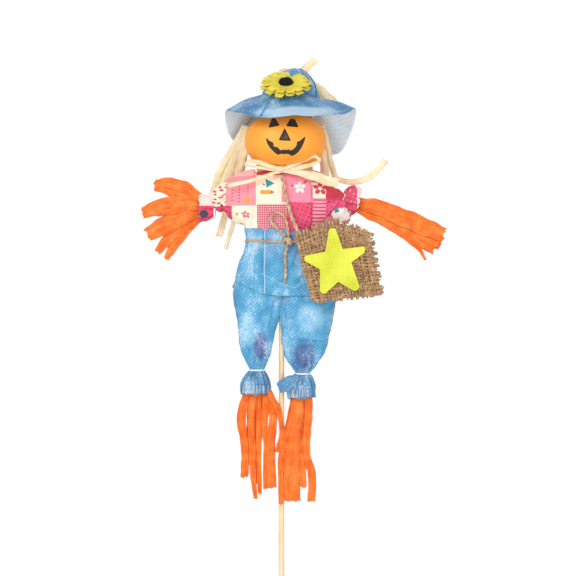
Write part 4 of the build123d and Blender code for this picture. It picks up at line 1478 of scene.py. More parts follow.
@dataclass(frozen=True)
class Hat:
    """A soft denim-print hat: a domed crown and a wide brim that dips at the back."""

    centre: Point = (7.2, 3.0, 464.6)
    up: Point = (0.10, 0.20, 0.975)
    ring: float = 23.6
    edge: tuple[tuple[float, float, float], ...] = (
        (-180, 49.0, 432.0), (-150, 50.0, 429.0), (-125, 51.0, 429.5), (-105, 52.0, 441.0), (-88, 52.2, 453.6),
        (-60, 50.5, 452.6), (-40, 49.0, 449.4), (-20, 47.0, 447.8), (0, 46.0, 447.6), (20, 47.0, 448.2),
        (40, 49.0, 450.0), (62, 51.0, 453.4), (86, 52.4, 455.2), (105, 52.0, 444.0), (125, 51.0, 427.0),
        (135, 50.5, 424.5), (155, 50.0, 428.0), (180, 49.0, 432.0),
    )

    def ring_place(self, azimuth: np.ndarray) -> np.ndarray:
        """Places on the ring where crown and brim meet.

        Args:
            azimuth: radians from the front, rising towards +X.
        Returns:
            The places.
        """
        x, y = self.ring * np.sin(azimuth), -self.ring * np.cos(azimuth)
        z = -(self.up[0] * x + self.up[1] * y) / self.up[2]
        return np.stack([x, y, z], axis=-1) + np.array(self.centre)

    def brim_place(self, azimuth: np.ndarray, t: np.ndarray) -> np.ndarray:
        """Places on the brim.

        Args:
            azimuth: radians from the front.
            t: 0 at the ring and 1 at the edge.
        Returns:
            The places.
        """
        degrees = (np.degrees(azimuth) + 180) % 360 - 180
        keys, radii, heights = (np.array(v, float) for v in zip(*self.edge))
        fine = np.linspace(-180, 180, 721)
        table = smooth_values(keys, np.stack([radii, heights], axis=1), fine)
        radius, height = np.interp(degrees, fine, table[:, 0]), np.interp(degrees, fine, table[:, 1])
        inner = self.ring_place(azimuth)
        outer = np.stack([radius * np.sin(azimuth), -radius * np.cos(azimuth), height], axis=-1)
        outer[..., :2] += np.array(self.centre[:2])
        t = t[..., None]
        line = inner * (1 - t) + outer * t
        arch = np.sin(math.pi * t) * (2.4 - 1.8 * np.cos(azimuth)[..., None] ** 2)
        ripple = t**1.5 * (0.9 * np.sin(5 * azimuth + 0.6) + 0.5 * np.sin(9 * azimuth + 2))[..., None]
        return line + (arch + ripple) * np.array([0, 0, 1.0])

    def build(self) -> None:
        """Make the brim, the crown and their seams."""
        rows, columns = 34, 193
        turn = np.linspace(-math.pi, math.pi, columns)[None, :].repeat(rows, axis=0)
        t = np.linspace(0, 1, rows)[:, None].repeat(columns, axis=1)
        points = self.brim_place(turn, t)
        points = points + 0.5 * rumple(points, 9.0, 2.0)[..., None] * np.array([0, 0, 1.0]) * t[..., None]
        points[:, -1] = points[:, 0]
        uv = np.stack([turn * 38.0, 30.0 - t * 30.0], axis=2) * UV_PER_MM
        brim = surface("hat_brim", points, uv, closed=True)
        face_away(brim, (*self.centre[:2], 400.0))
        self.line(brim)
        dress(brim, "figure", "denim_print", ["hat_brim"])

        rise = np.linspace(0, 1, rows)[:, None].repeat(columns, axis=1)
        shrink = np.cos(rise * math.pi / 2) ** 1.45
        base = self.ring_place(turn) - np.array(self.centre)
        apex = np.array([4.6, 4.0, 26.2])
        crown = base * shrink[..., None] + apex * (np.sin(rise * math.pi / 2) ** 1.12)[..., None]
        crown = crown + np.array(self.centre)
        outward = base / self.ring
        fold = 0.8 * np.sin(7 * turn + 1) * np.sin(math.pi * rise) * (0.3 + rise)
        crown = crown + (fold + 0.7 * rumple(crown, 8.0, 6.0))[..., None] * outward * shrink[..., None]
        crown[:, -1] = crown[:, 0]
        crown[-1] = crown[-1].mean(axis=0)
        uv = np.stack([turn * 22.0, 60 + rise * 32.0], axis=2) * UV_PER_MM
        dome = surface("hat_crown", crown, uv, closed=True)
        face_away(dome, (*self.centre[:2], 462.0))
        self.line(dome)
        dress(dome, "figure", "denim_print", ["hat_crown"])
        self.seams(crown, turn)

    def line(self, cloth: Piece) -> None:
        """Give a cloth its thickness, with the print outside and its paler back inside.

        Args:
            cloth: the cloth, facing outwards.
        """
        for finish in (HAT_DENIM, HAT_LINING):
            cloth.data.materials.append(material_of(finish))
        apply_modifier(cloth, "SOLIDIFY", thickness=0.7 * MM, offset=-1.0, material_offset=1,
                       material_offset_rim=0)

    def seams(self, crown: np.ndarray, turn: np.ndarray) -> None:
        """Add the doubled seams that run down the brim and the crown, and their pale stitches.

        Args:
            crown: the crown's places.
            turn: the azimuth of each.
        """
        lift = np.array([0, -0.15, 0.42])
        folds, dashes = [], []

        def fold(places: np.ndarray, widths: tuple[float, ...], face: Point, crinkle: float = 0.05,
                 **grid: int) -> Ribbon:
            """A smooth-ended strip along places on the hat."""
            return Ribbon(tuple(map(tuple, places)), widths, face, 0.1, crinkle, ragged=0.0, **grid)

        for azimuth in (-29.0, 151.0, -118.0, 72.0):
            steps = np.linspace(0.05, 0.985, 15)
            route = self.brim_place(np.full(15, math.radians(azimuth)), steps) + lift
            folds.append(fold(route, (2.3,), (0, -0.6, 0.8)))
            for offset in (-0.9, 0.9):
                spot = math.radians(azimuth + offset * 1.35)
                for a in np.arange(0.06, 0.94, 0.055):
                    dash = self.brim_place(np.full(3, spot), np.linspace(a, a + 0.03, 3)) + lift * 1.25
                    dashes.append(fold(dash, (0.34,), (0, -0.6, 0.8), 0.0, rows=4, columns=3))
        column = int(np.argmin(np.abs(turn[0] - math.radians(58))))
        for shift in (0, 96):
            spots = crown[1:30:3, (column + shift) % (crown.shape[1] - 1)] + lift
            folds.append(fold(spots, (2.2, 2.2, 1.6), (0.5, -0.8, 0.4)))
        for a in np.arange(-3.1, 3.1, 0.062):
            dash = self.brim_place(np.linspace(a, a + 0.030, 3), np.full(3, 0.93)) + lift * 0.9
            dashes.append(fold(dash, (0.34,), (0, -0.4, 0.9), 0.0, rows=4, columns=3))
        dress(ribbons("hat_seam_folds", folds, 0.3), "figure", "denim_print", [], HAT_SEAM)
        dress(ribbons("hat_stitches", dashes, 0.15), "figure", "denim_print", [], PALE_THREAD)


@dataclass(frozen=True)
class Sunflower:
    """The hat's cloth flower: two layers of notched petals, a pile centre and a moulded hub."""

    centre: Point = (3.6, -19.0, 474.2)
    up: Point = (0.0, -0.574, 0.819)
    reach: float = 20.6

    def build(self) -> None:
        """Make the petals and the centre."""
        up, across = np.array(self.up), np.array([1.0, 0, 0])
        slope = np.cross(up, across)
        rng = np.random.default_rng(5)
        strips = []
        for layer, (count, start, lift) in enumerate(((13, 0.1, 0.0), (12, 0.42, 1.5))):
            for i in range(count):
                angle = 2 * math.pi * (i + start) / count + rng.uniform(-0.05, 0.05)
                out = math.cos(angle) * across + math.sin(angle) * slope
                reach = self.reach * (1.0 if layer == 0 else 0.9) * rng.uniform(0.95, 1.03)
                droop = rng.uniform(-0.4, 1.2)
                route = tuple(
                    tuple(np.array(self.centre) + out * r + up * (lift + h))
                    for r, h in ((2.2, 0.0), (reach * 0.45, 1.0), (reach * 0.8, 0.9 + 0.4 * droop),
                                 (reach, 0.2 + droop))
                )
                strips.append(Ribbon(route, (2.2, 4.6, 7.0, 7.6, 5.6), tuple(up), -0.06, 0.3, 1.1, ragged=0.25,
                                     teeth=1.3, seed=i + 20 * layer, rows=30, columns=13))
        dress(ribbons("flower_petals", strips, 0.35), "figure", "petal_cloth", ["flower_petals"],
              PETAL)
        bpy.ops.object.select_all(action="DESELECT")
        bpy.ops.mesh.primitive_ico_sphere_add(subdivisions=5, radius=MM)
        pile = bpy.context.object

        def tuft(ball: np.ndarray) -> np.ndarray:
            """Places on the bumpy pile from places on a ball."""
            height = np.clip(ball @ np.array([0, 0, 1.0]), -0.35, 1)
            size = 1 + 0.16 * rumple(ball * 5.4, 0.62, 4) + 0.1 * rumple(ball * 5.4, 0.3, 8)
            flat = ball[:, :1] * across + ball[:, 1:2] * slope + height[:, None] * up * 0.72
            return flat * 5.6 * size[:, None] + np.array(self.centre) + up * 2.0

        reshape(pile, tuft)
        spikes = [pile]
        for _ in range(110):
            a, b = rng.uniform(0, 2 * math.pi), math.acos(rng.uniform(0.05, 1))
            out = math.sin(b) * (math.cos(a) * across + math.sin(a) * slope) + math.cos(b) * up * 0.8
            root = np.array(self.centre) + up * 2.0 + out * 5.0
            tip = root + out * rng.uniform(0.8, 1.7) + rng.normal(0, 0.25, 3)
            line = smooth_path([root, (root + tip) / 2, tip], 5)
            spikes.append(Strand(0.16, 0.16, 4).mesh(line, (0.3, 0.2, 1)))
        dress(join(spikes, "flower_centre"), "figure", "flower_pile", ["flower_centre"], PILE)


# --- Raffia -------------------------------------------------------------------------------
def raffia(node: str, strips: Iterable[Ribbon], thickness: float) -> None:
    """Make raffia strips into the piece that stands for one node.

    Args:
        node: the node.
        strips: the strips.
        thickness: their thickness in millimetres.
    """
    dress(ribbons(node, strips, thickness), "figure", "raffia", [node], RAFFIA)


@dataclass(frozen=True)
class RaffiaHair:
    """Loose raffia strips that hang from under the hat and stand up behind it."""

    left: tuple[Strip, ...] = (
        (((-27, 4, 444), (-31, 9, 425), (-35, 12, 405), (-37, 12, 392)), (5, 7.5, 7, 6)),
        (((-30, 8, 445), (-36, 11, 425), (-41, 13, 408), (-43, 14, 392)), (4, 6.5, 6.5, 5)),
        (((-28, 10, 443), (-35, 13, 420), (-43, 15, 400), (-46, 16, 380)), (4, 6, 6, 6)),
        (((-33, 10, 440), (-42, 12, 423), (-52, 14, 404), (-57, 14, 389)), (3, 5, 4.6, 3.4)),
        (((-31, 12, 441), (-40, 14, 421), (-48, 16, 402), (-54, 16, 384)), (3, 4.6, 4.6, 4)),
        (((-30, 14, 440), (-38, 16, 414), (-44, 18, 388), (-46, 18, 372), (-51, 17, 356)), (4, 5, 5, 5, 5.4)),
        (((-26, 13, 440), (-32, 16, 410), (-37, 18, 380), (-40, 18, 364), (-45.5, 17, 346)), (4, 5, 4, 3.4, 3.4)),
        (((-25, 2, 440), (-29, 7, 424), (-33, 10, 410), (-35, 11, 396)), (3, 4, 4, 4)),
    )
    right: tuple[Strip, ...] = (
        (((33, 7, 446), (37, 9, 430), (40, 11, 417), (46, 13, 402), (57, 13, 400), (69, 12, 402.5),
          (77, 11, 409), (84, 10, 417)), (3, 4, 3.4, 3.6, 4.4, 5, 5, 5.4)),
        (((31, 6, 444), (33, 8, 428), (35, 10, 414), (37, 12, 403)), (3, 4.4, 4.6, 4)),
        (((34, 9, 442), (37, 11, 425), (40, 13, 412), (43, 14, 402)), (3, 4, 4, 3)),
        (((29, 5, 440), (31, 8, 424), (33, 10, 411), (33, 12, 400)), (3, 4, 4, 3)),
    )
    back: tuple[Strip, ...] = tuple(
        (((x, 30, 443), (1.1 * x, 33, 424), (1.16 * x + 0.6, 33, 404), (1.2 * x + s, 31, z)), (5, 7, 7, 5))
        for x, s, z in ((-15, -2, 376), (-8, 1, 369), (-1, -1, 374), (6, 2, 367), (13, 0, 375), (19, 2, 381))
    )
    top: tuple[Strip, ...] = (
        (((13, 9, 483), (17, 10, 488), (21.5, 11, 493), (28, 12, 498.5)), (7, 7, 6, 5)),
        (((12, 9, 486), (6, 10, 489), (1, 10, 489.6), (-1.4, 10, 488.6)), (3, 3.4, 3, 2.4)),
        (((24, 18, 481), (31, 20, 476), (40, 22, 468), (50, 23, 459)), (5, 7, 7, 6)),
        (((22, 20, 478), (30, 23, 472), (37, 24, 465), (43, 24, 459)), (4, 5, 6, 6)),
    )

    def build(self) -> None:
        """Make the four bunches."""
        faces = {"left": (0.0, -1.0, 0.1), "right": (0.0, -1.0, 0.1), "back": (0.0, 1.0, 0.0),
                 "top": (-0.1, -0.95, 0.3)}
        for side, face in faces.items():
            strips = [
                Ribbon(route, widths, face, 0.10, 0.45, 1.3, twist=(-14, 10, 22, -8)[i % 4], ragged=1.4,
                       seed=i + len(side), rows=60, columns=9)
                for i, (route, widths) in enumerate(getattr(self, side))
            ]
            raffia(f"hair_{side}", strips, 0.3)


@dataclass(frozen=True)
class NeckBow:
    """The raffia bow at the neck."""

    def build(self) -> None:
        """Make the wrap, the loops, the tails and the knot."""
        loops = (
            Ribbon(((0, -16.4, 408.4), (-9, -18, 410.6), (-18, -18.6, 413.6), (-26, -19, 414.0),
                    (-28.4, -18.6, 411.6), (-24, -17.8, 410.2), (-14, -17.2, 409.2), (-2, -16.2, 407.6)),
                   (2.4, 3.6, 4.2, 2.6, 1.6, 2.2, 3.0, 2.4), (0, -1, 0.2), 0.12, 0.35, 1.2, seed=1, rows=90),
            Ribbon(((0, -16.4, 408.0), (9, -18, 411.4), (19, -18.8, 416.0), (27, -19.2, 418.2),
                    (30.2, -18.8, 415.2), (25, -18.0, 412.2), (14, -17.2, 410.0), (2, -16.2, 407.8)),
                   (2.4, 3.0, 3.4, 2.8, 2.2, 3.6, 5.0, 2.6), (0, -1, 0.2), 0.12, 0.35, 1.2, seed=2, rows=90),
        )
        raffia("neck_bow_loops", loops, 0.3)
        tails = (
            Ribbon(((1, -16.0, 407.0), (-9, -16.2, 404.2), (-20, -15.8, 400.6), (-31, -15.6, 397.6),
                    (-42.3, -15.0, 395.6)), (2.2, 2.6, 2.8, 3.0, 3.6), (0, -1, 0.1), 0.12, 0.3, 1.1, seed=3,
                   rows=70),
            Ribbon(((1, -16.2, 407.0), (10, -16.6, 406.4), (21, -16.2, 403.8), (33, -15.8, 400.2),
                    (44.6, -15.2, 397.0)), (2.6, 5.0, 7.4, 7.8, 7.4), (0, -1, 0.1), 0.14, 0.5, 1.3, seed=4,
                   rows=70, columns=11),
        )
        raffia("neck_bow_tails", tails, 0.3)
        knot = tuple(
            Ribbon(((-2.6 + i, -13.6, 404.8 + 0.4 * i), (-2.4 + i, -17.0, 407.0), (-1.2 + i, -17.2, 408.8),
                    (0.4 + i, -13.8, 410.6)), (3.4, 4.4, 4.2, 3.0), (0, -1, 0), 0.2, 0.3, 1.1, seed=6 + i)
            for i in (0.0, 1.6)
        )
        raffia("neck_bow_knot", knot, 0.4)
        turn = np.linspace(0, 2 * math.pi, 25)
        ring = tuple((1 + 7.4 * math.sin(a), -7.0 * math.cos(a), 408.2 + 0.5 * math.sin(2 * a)) for a in turn)
        wrap = Ribbon(ring, (3.4, 4.2, 3.0, 4.0, 3.4), (0, 0, 1), 0.05, 0.3, 1.1, twist=0, seed=9, rows=120)
        raffia("neck_wrap", [wrap], 0.4)


# --- Clothes ------------------------------------------------------------------------------
@dataclass(frozen=True)
class Shirt:
    """The patchwork shirt: a flat body, and sleeves that narrow to the wrist ties."""

    torso: ClothTube = ClothTube(
        "shirt_torso",
        (Ring(1.5, 0, 408.6, 11, 7.6), Ring(1.4, 0, 406.6, 19, 9.2, 0.4), Ring(1.2, 0, 403, 26.5, 10.6, 0.3),
         Ring(1.2, 0, 396, 31.5, 11.8), Ring(1.2, 0, 388, 33.4, 12.3), Ring(1.6, 0, 378, 34.0, 12.0),
         Ring(2.0, 0, 369, 33.2, 11.4), Ring(1.6, 0, 361.5, 31.2, 10.4, 0.4),
         Ring(1.4, 0, 358.6, 30.2, 10.0, 0.5)),
        pleats=9, rumple=0.7, squareness=2.7, seed=1.0, columns=241, rows=120,
        creases=((24.4, 398, 24.6, 361, 2.2, 1.0), (-19, 392, -27, 366, 0.8, 1.6), (-30, 396, -33, 372, 0.9, 1.5),
                 (9, 372, 20, 362, 0.9, 1.6), (-6, 403, -13, 394, 0.7, 1.6), (12, 402, 21, 391, 0.8, 1.8),
                 (-2, 366, -16, 378, 0.6, 1.8), (-27, 364, -22, 376, 0.6, 1.4)),
    )
    left: ClothTube = ClothTube(
        "sleeve_left",
        (Ring(-22, 0.6, 385.6, 23.6, 10.6), Ring(-28, 0.8, 385.8, 22.6, 10.4, 0.1),
         Ring(-35, 1.2, 385.4, 20.0, 9.8, 0.2), Ring(-42, 1.8, 385.0, 16.0, 9.0, 0.45),
         Ring(-47.6, 2.8, 383.8, 12.0, 8.0, 0.9), Ring(-51.4, 3.5, 380.8, 8.0, 6.8, 1.1),
         Ring(-53.4, 4.0, 377.6, 5.0, 5.2, 0.5)),
        pleats=12, rumple=0.8, squareness=2.1, seed=2.0, columns=181,
        creases=((-51, 381, -38, 388, 1.2, 1.2), (-51, 378, -36, 377, 1.3, 1.2), (-50, 376, -38, 369, 1.1, 1.2),
                 (-50, 386, -41, 396, 1.0, 1.3)),
    )
    right: ClothTube = ClothTube(
        "sleeve_right",
        (Ring(23, 0.6, 384.6, 23.6, 10.6), Ring(29, 0.8, 384.0, 22.8, 10.4, 0.1),
         Ring(35.5, 1.4, 383.6, 20.6, 9.8, 0.3), Ring(41, 2.0, 383.4, 17.4, 9.0, 0.7),
         Ring(45.4, 2.9, 384.4, 13.0, 8.0, 1.3), Ring(48.2, 3.6, 385.8, 8.0, 6.6, 1.3),
         Ring(49.8, 4.0, 386.5, 5.0, 5.2, 0.5)),
        pleats=11, rumple=1.0, squareness=2.1, seed=5.0, columns=181,
        creases=((48, 388, 33, 395.5, 1.7, 1.2), (48, 386.5, 32, 388, 1.9, 1.2), (48, 385, 34, 380.5, 1.6, 1.2),
                 (48, 383, 38, 371, 1.5, 1.3), (46, 390, 36, 401, 1.2, 1.3)),
    )

    def build(self) -> None:
        """Make the body and both sleeves."""
        for tube in (self.torso, self.left, self.right):
            piece = dress(tube.mesh(), "figure", "patchwork_print", [tube.name], SHIRT_PRINT)
        # A loose corner of the print hangs from the right sleeve, under its tie.
        flap = Ribbon(((40, -6.2, 377), (45, -7.0, 374), (50, -5.6, 371.4), (54, -3.0, 372.6)), (6, 11, 11, 8),
                      (0, -1, 0.1), 0.16, 0.6, 2.4, seed=3, ragged=0.6, columns=15)
        piece = flap.mesh()
        uv = piece.data.uv_layers.active.data
        for polygon in piece.data.polygons:
            for corner in polygon.loop_indices:
                place = piece.data.vertices[piece.data.loops[corner].vertex_index].co
                uv[corner].uv = (place.x / MM * UV_PER_MM, place.z / MM * UV_PER_MM)
        piece = join([piece], "sleeve_flap")
        apply_modifier(piece, "SOLIDIFY", thickness=0.4 * MM, offset=0.0)
        dress(piece, "figure", "patchwork_print", [], SHIRT_PRINT)


@dataclass(frozen=True)
class Trousers:
    """The denim-print trousers: hips over the belt, and two legs gathered at the ankles."""

    cut_z: float = 262.0
    hip_bend: Spot = (0.312, 0.286)
    ankle_bend: Spot = (0.009, 0.001)
    hips: ClothTube = ClothTube(
        "trousers_hips",
        (Ring(0.5, 0, 361.2, 30.2, 10.3, 0.4), Ring(0.4, 0, 357, 29.8, 10.4, 0.5),
         Ring(0.2, 0, 352, 28.6, 9.8, 0.6), Ring(0.2, 0, 350, 28.8, 9.9, 0.6),
         Ring(0.8, 0, 342, 32.4, 10.6, 0.4), Ring(1.4, 0, 332, 36.6, 10.9, 0.2),
         Ring(2.2, 0, 320, 40.2, 11.0), Ring(2.5, 0, 312, 41.4, 11.0), Ring(2.5, 0, 306.5, 41.8, 10.8)),
        pleats=13, rumple=1.0, squareness=2.6, seed=3.0, columns=241, rows=120, ragged=0.4, thickness=0.7,
        hem=((-40, 8.5), (-31, 6.0), (-21.6, 3.6), (-0.5, 1.6), (22, 1.4), (34, 0.0), (45, -1.2)),
        creases=((-24, 350, -31, 326, 1.1, 1.7), (-27, 352, -33, 338, 0.9, 1.4), (-10, 349, -14, 330, 0.7, 1.6),
                 (-36, 326, -20, 314, 1.1, 1.6), (16, 348, 8, 328, 0.9, 1.8), (6, 324, -8, 312, 0.8, 1.8),
                 (26, 334, 12, 316, 1.0, 2.0), (-4, 346, 1, 330, 0.7, 1.5)),
    )
    left: ClothTube = ClothTube(
        "trouser_leg_left",
        (Ring(-19.4, -1.2, 323, 17.2, 8.0), Ring(-19.4, -1.2, 311, 19.6, 8.8), Ring(-19.0, -1.3, 299, 19.0, 8.8),
         Ring(-19.3, -1.4, 289, 16.8, 8.6, 0.1), Ring(-19.8, -1.5, 279, 15.0, 8.2, 0.2),
         Ring(-20.2, -1.5, 269, 13.1, 7.8, 0.4), Ring(-19.9, -1.5, 260, 10.4, 7.2, 0.9),
         Ring(-19.7, -1.5, 254, 7.6, 6.4, 1.0), Ring(-19.7, -1.5, 249, 5.2, 5.0, 0.5)),
        pleats=11, rumple=1.1, seed=4.0, guard=True, rows=130, columns=181,
        creases=((-20, 252, -28, 268, 1.3, 1.3), (-19, 252, -13, 268, 1.2, 1.2), (-19.6, 252, -21, 274, 1.0, 1.4),
                 (-6, 300, -18, 290, 0.9, 2.0), (-34, 300, -24, 292, 0.8, 2.0), (-30, 282, -18, 276, 0.8, 1.8),
                 (-4, 306, -9, 282, 0.8, 1.6)),
    )
    right: ClothTube = ClothTube(
        "trouser_leg_right",
        (Ring(21.6, -1.2, 323, 19.6, 8.0), Ring(21.8, -1.2, 311, 21.8, 8.8), Ring(21.4, -1.3, 299, 21.6, 8.8),
         Ring(20.4, -1.4, 289, 21.2, 8.6, 0.1), Ring(18.9, -1.5, 279, 19.9, 8.4, 0.2),
         Ring(18.6, -1.5, 268, 17.4, 8.0, 0.4), Ring(17.7, -1.5, 260, 14.9, 7.6, 0.9),
         Ring(17.2, -1.5, 252.6, 9.2, 6.6, 1.3), Ring(16.8, -1.5, 246.2, 5.2, 5.0, 0.5)),
        pleats=12, rumple=1.2, seed=6.0, guard=True, rows=130, columns=181,
        creases=((17, 250, 26, 268, 1.4, 1.3), (16, 250, 8, 268, 1.3, 1.2), (16.8, 250, 18, 272, 1.1, 1.4),
                 (3, 304, 12, 292, 0.9, 2.0), (6, 274, 30, 271.5, 1.3, 1.2), (38, 300, 26, 288, 0.8, 2.0),
                 (17, 250, 31, 262, 1.1, 1.2), (2, 300, 5, 272, 0.8, 1.5)),
    )

    def build(self) -> None:
        """Make the hips and both legs."""
        hips = dress(self.hips.mesh(), "figure", "denim_print", ["trousers_hips"], TROUSER_PRINT_AND_PAINTED_LIGHT)
        for side, tube in (("left", self.left), ("right", self.right)):
            leg = tube.mesh()
            leg.data.materials.append(material_of(TROUSER_PRINT_AND_PAINTED_LIGHT))
            gather = cut_below(leg, self.cut_z, f"trouser_gather_{side}")
            for part in (leg, gather):
                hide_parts(tube.name)
                LOG.info("%s bends at a joint", part.name)
            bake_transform(leg)
            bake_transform(gather)


@dataclass(frozen=True)
class PaperStrips:
    """A bunch of crinkled paper strips: their routes, widths and which node they stand for."""

    name: str
    body: str
    strips: tuple[Strip, ...]
    guard: bool = False

    def build(self) -> None:
        """Make the bunch."""
        made = [
            Ribbon(route, widths, FRONT, 0.10, 1.0, 0.85, twist=(8, -10, 4, -6)[i % 4], ragged=1.5,
                   seed=i + len(self.name), rows=80, columns=17)
            for i, (route, widths) in enumerate(self.strips)
        ]
        piece = ribbons(self.name, made, 0.35)
        if self.guard:
            reshape(piece, clear_of_stick)
        dress(piece, self.body, "orange_paper", [self.name], PAPER)


@dataclass(frozen=True)
class GatheredEnds:
    """The cuffs beyond the wrist and ankle ties, and the paper hands and feet in them."""

    cuffs: tuple[tuple[str, ClothTube], ...] = (
        ("left_foot", ClothTube(
            "trouser_cuff_left",
            (Ring(-19.7, -1.5, 249.6, 5.1, 4.9, 0.5), Ring(-19.8, -1.5, 246, 6.8, 5.6, 1.5),
             Ring(-20.2, -1.5, 240, 10.0, 6.4, 1.7), Ring(-20.6, -1.5, 234.5, 11.6, 7.0, 1.4),
             Ring(-20.6, -1.5, 229.6, 11.8, 7.2, 1.0)),
            pleats=10, rumple=0.6, seed=7.0, rows=48, ragged=1.4, guard=True)),
        ("right_foot", ClothTube(
            "trouser_cuff_right",
            (Ring(16.8, -1.5, 246.8, 5.1, 4.9, 0.5), Ring(16.6, -1.5, 243, 7.4, 5.6, 1.5),
             Ring(16.0, -1.5, 237.2, 10.2, 6.4, 1.8), Ring(15.8, -1.5, 231, 10.8, 6.9, 1.6),
             Ring(16.0, -1.5, 226.4, 10.4, 7.0, 1.3)),
            pleats=10, rumple=0.6, seed=8.0, rows=48, ragged=1.4, guard=True)),
        ("left_hand", ClothTube(
            "sleeve_cuff_left",
            (Ring(-52.8, 4, 377.4, 5.0, 5.1, 0.4), Ring(-55.4, 4, 377.6, 7.0, 5.6, 1.1),
             Ring(-59, 4, 377.8, 9.2, 6.0, 1.2), Ring(-63, 4, 378.0, 10.2, 6.4, 1.2),
             Ring(-66, 4, 378.0, 10.4, 6.6, 1.1)),
            pleats=9, rumple=0.5, seed=9.0, rows=44, ragged=1.2)),
        ("right_hand", ClothTube(
            "sleeve_cuff_right",
            (Ring(49.2, 4, 386.7, 5.0, 5.1, 0.5), Ring(51.8, 4, 386.2, 7.8, 5.8, 1.8),
             Ring(55.2, 4, 385.4, 10.2, 6.4, 2.3), Ring(58.6, 4, 384.6, 10.4, 6.8, 2.2),
             Ring(61.8, 4, 383.8, 9.8, 6.8, 1.8)),
            pleats=8, rumple=0.9, seed=10.0, rows=60, columns=193, ragged=2.2)),
    )
    bunches: tuple[PaperStrips, ...] = (
        PaperStrips("foot_strips_left", "left_foot", (
            (((-24, -1.8, 240), (-28, -2.4, 226), (-31.6, -2.8, 212), (-30.2, -2.4, 196), (-29, -2.0, 180),
              (-29.4, -1.8, 163)), (7, 7.4, 7.4, 6.6, 6.6, 6.2)),
            (((-21, -2.6, 240), (-23.6, -3.4, 222), (-24.2, -3.6, 205), (-23.6, -3.2, 188), (-22.8, -2.8, 166),
              (-20.8, -2.4, 146)), (6, 6, 5.0, 5.6, 4.4, 3.2)),
            (((-18, -1.6, 240), (-18.4, -1.8, 222), (-17.6, -2.2, 204), (-18.4, -2.2, 184), (-17.8, -2.0, 166),
              (-17.4, -1.8, 150)), (5, 4.6, 5.4, 4.8, 4.0, 3.0)),
            (((-15, -2.4, 240), (-12.6, -3.2, 224), (-13.4, -3.0, 208), (-11.6, -2.8, 190), (-12.4, -2.4, 170),
              (-13.0, -2.0, 154)), (6, 5.6, 5.0, 6.4, 5.2, 3.0)),
            (((-13, -3.0, 240), (-9.4, -4.0, 226), (-6.8, -4.4, 208), (-8.4, -3.8, 190), (-8.6, -3.2, 172),
              (-7.6, -2.8, 154.6)), (5, 5.6, 6.2, 7.2, 7.6, 7.6)),
            (((-13, -4.2, 238), (-7.0, -5.2, 225), (-1.8, -5.8, 214), (0.2, -5.6, 203), (-2.2, -4.8, 183)),
             (5, 5.2, 4.2, 2.6, 7.0)),
            (((-20, 0.8, 240), (-21, 0.6, 220), (-22, 0.4, 200), (-21, 0.4, 176), (-20, 0.2, 158)),
             (10, 13, 12, 8, 5)),
        ), guard=True),
        PaperStrips("foot_strips_right", "right_foot", (
            (((13.6, -2.4, 236), (13.0, -3.6, 222), (10.4, -4.2, 204), (8.8, -4.0, 186), (8.2, -3.4, 164),
              (8.4, -2.8, 144)), (9, 10.4, 12.4, 13.4, 13.2, 13.0)),
            (((16, -1.2, 236), (15.6, -1.8, 214), (15.6, -2.0, 192), (16.0, -1.8, 172), (16.2, -1.4, 155)),
             (7, 8, 8, 7.6, 7.2)),
            (((20, -2.2, 236), (21.6, -3.0, 218), (20.6, -3.4, 198), (20.0, -3.0, 182), (24.0, -2.6, 166),
              (24.2, -2.2, 144)), (7, 6.4, 6.0, 5.6, 6.4, 6.2)),
            (((13, 0.4, 236), (8, 0.0, 214), (3.2, -4.2, 196), (-0.4, -4.6, 180), (-0.6, -4.2, 160),
              (-0.4, -3.8, 142)), (6, 6, 5, 4.2, 4.2, 4.0)),
            (((17, 1.2, 236), (17, 1.4, 210), (15, 1.2, 184), (15, 1.0, 158)), (11, 13, 12, 9)),
        ), guard=True),
        PaperStrips("hand_strips_left", "left_hand", (
            (((-60.5, 3.0, 379), (-68, 2.4, 385.6), (-80, 2.2, 391.4), (-92, 2.4, 395.2), (-102, 2.6, 396.8)),
             (6, 12, 16.5, 14.5, 8.6)),
            (((-60.5, 2.4, 378), (-70, 1.4, 380.6), (-84, 1.0, 381.6), (-98, 1.2, 378.2), (-111.6, 1.6, 374.6)),
             (6, 11.5, 15.0, 13.5, 8.6)),
            (((-60.5, 3.2, 377), (-70, 2.6, 374.6), (-82, 2.4, 370.2), (-95, 2.6, 363.6), (-107.2, 2.8, 356.4)),
             (6, 12, 15.5, 14.6, 10.4)),
            (((-60.5, 4.0, 376), (-68, 4.4, 370.6), (-79, 4.6, 364.0), (-90, 4.8, 354.0), (-100, 5.0, 343.6)),
             (5, 8.5, 10.8, 9.6, 5.6)),
            (((-60.5, 4.6, 375), (-67, 5.4, 369.2), (-76, 5.8, 361.6), (-85, 6.0, 350.4), (-92.6, 6.0, 337.2)),
             (4, 7, 8.6, 8.0, 4.0)),
        )),
        PaperStrips("hand_strips_right", "right_hand", (
            (((53, 2.4, 384), (70, 1.6, 380.4), (88, 1.2, 374.8), (108, 1.4, 366.4), (130, 1.8, 357.0)),
             (6, 12.4, 14.6, 15.0, 11.6)),
            (((53, 3.4, 383), (70, 2.8, 375.4), (88, 2.6, 368.0), (106, 2.8, 357.6), (123.6, 3.2, 346.4)),
             (6, 12, 14.6, 15.0, 12.0)),
            (((53, 4.4, 383), (72, 4.6, 377), (92, 4.8, 370), (112, 5.0, 358.6), (128, 5.0, 350.0)),
             (6, 11, 15, 15, 11)),
            (((96, 3.8, 357.0), (104, 4.0, 351.4), (111, 4.2, 344.8), (115.4, 4.2, 336.6)), (4.6, 4.4, 3.2, 1.6)),
        )),
    )

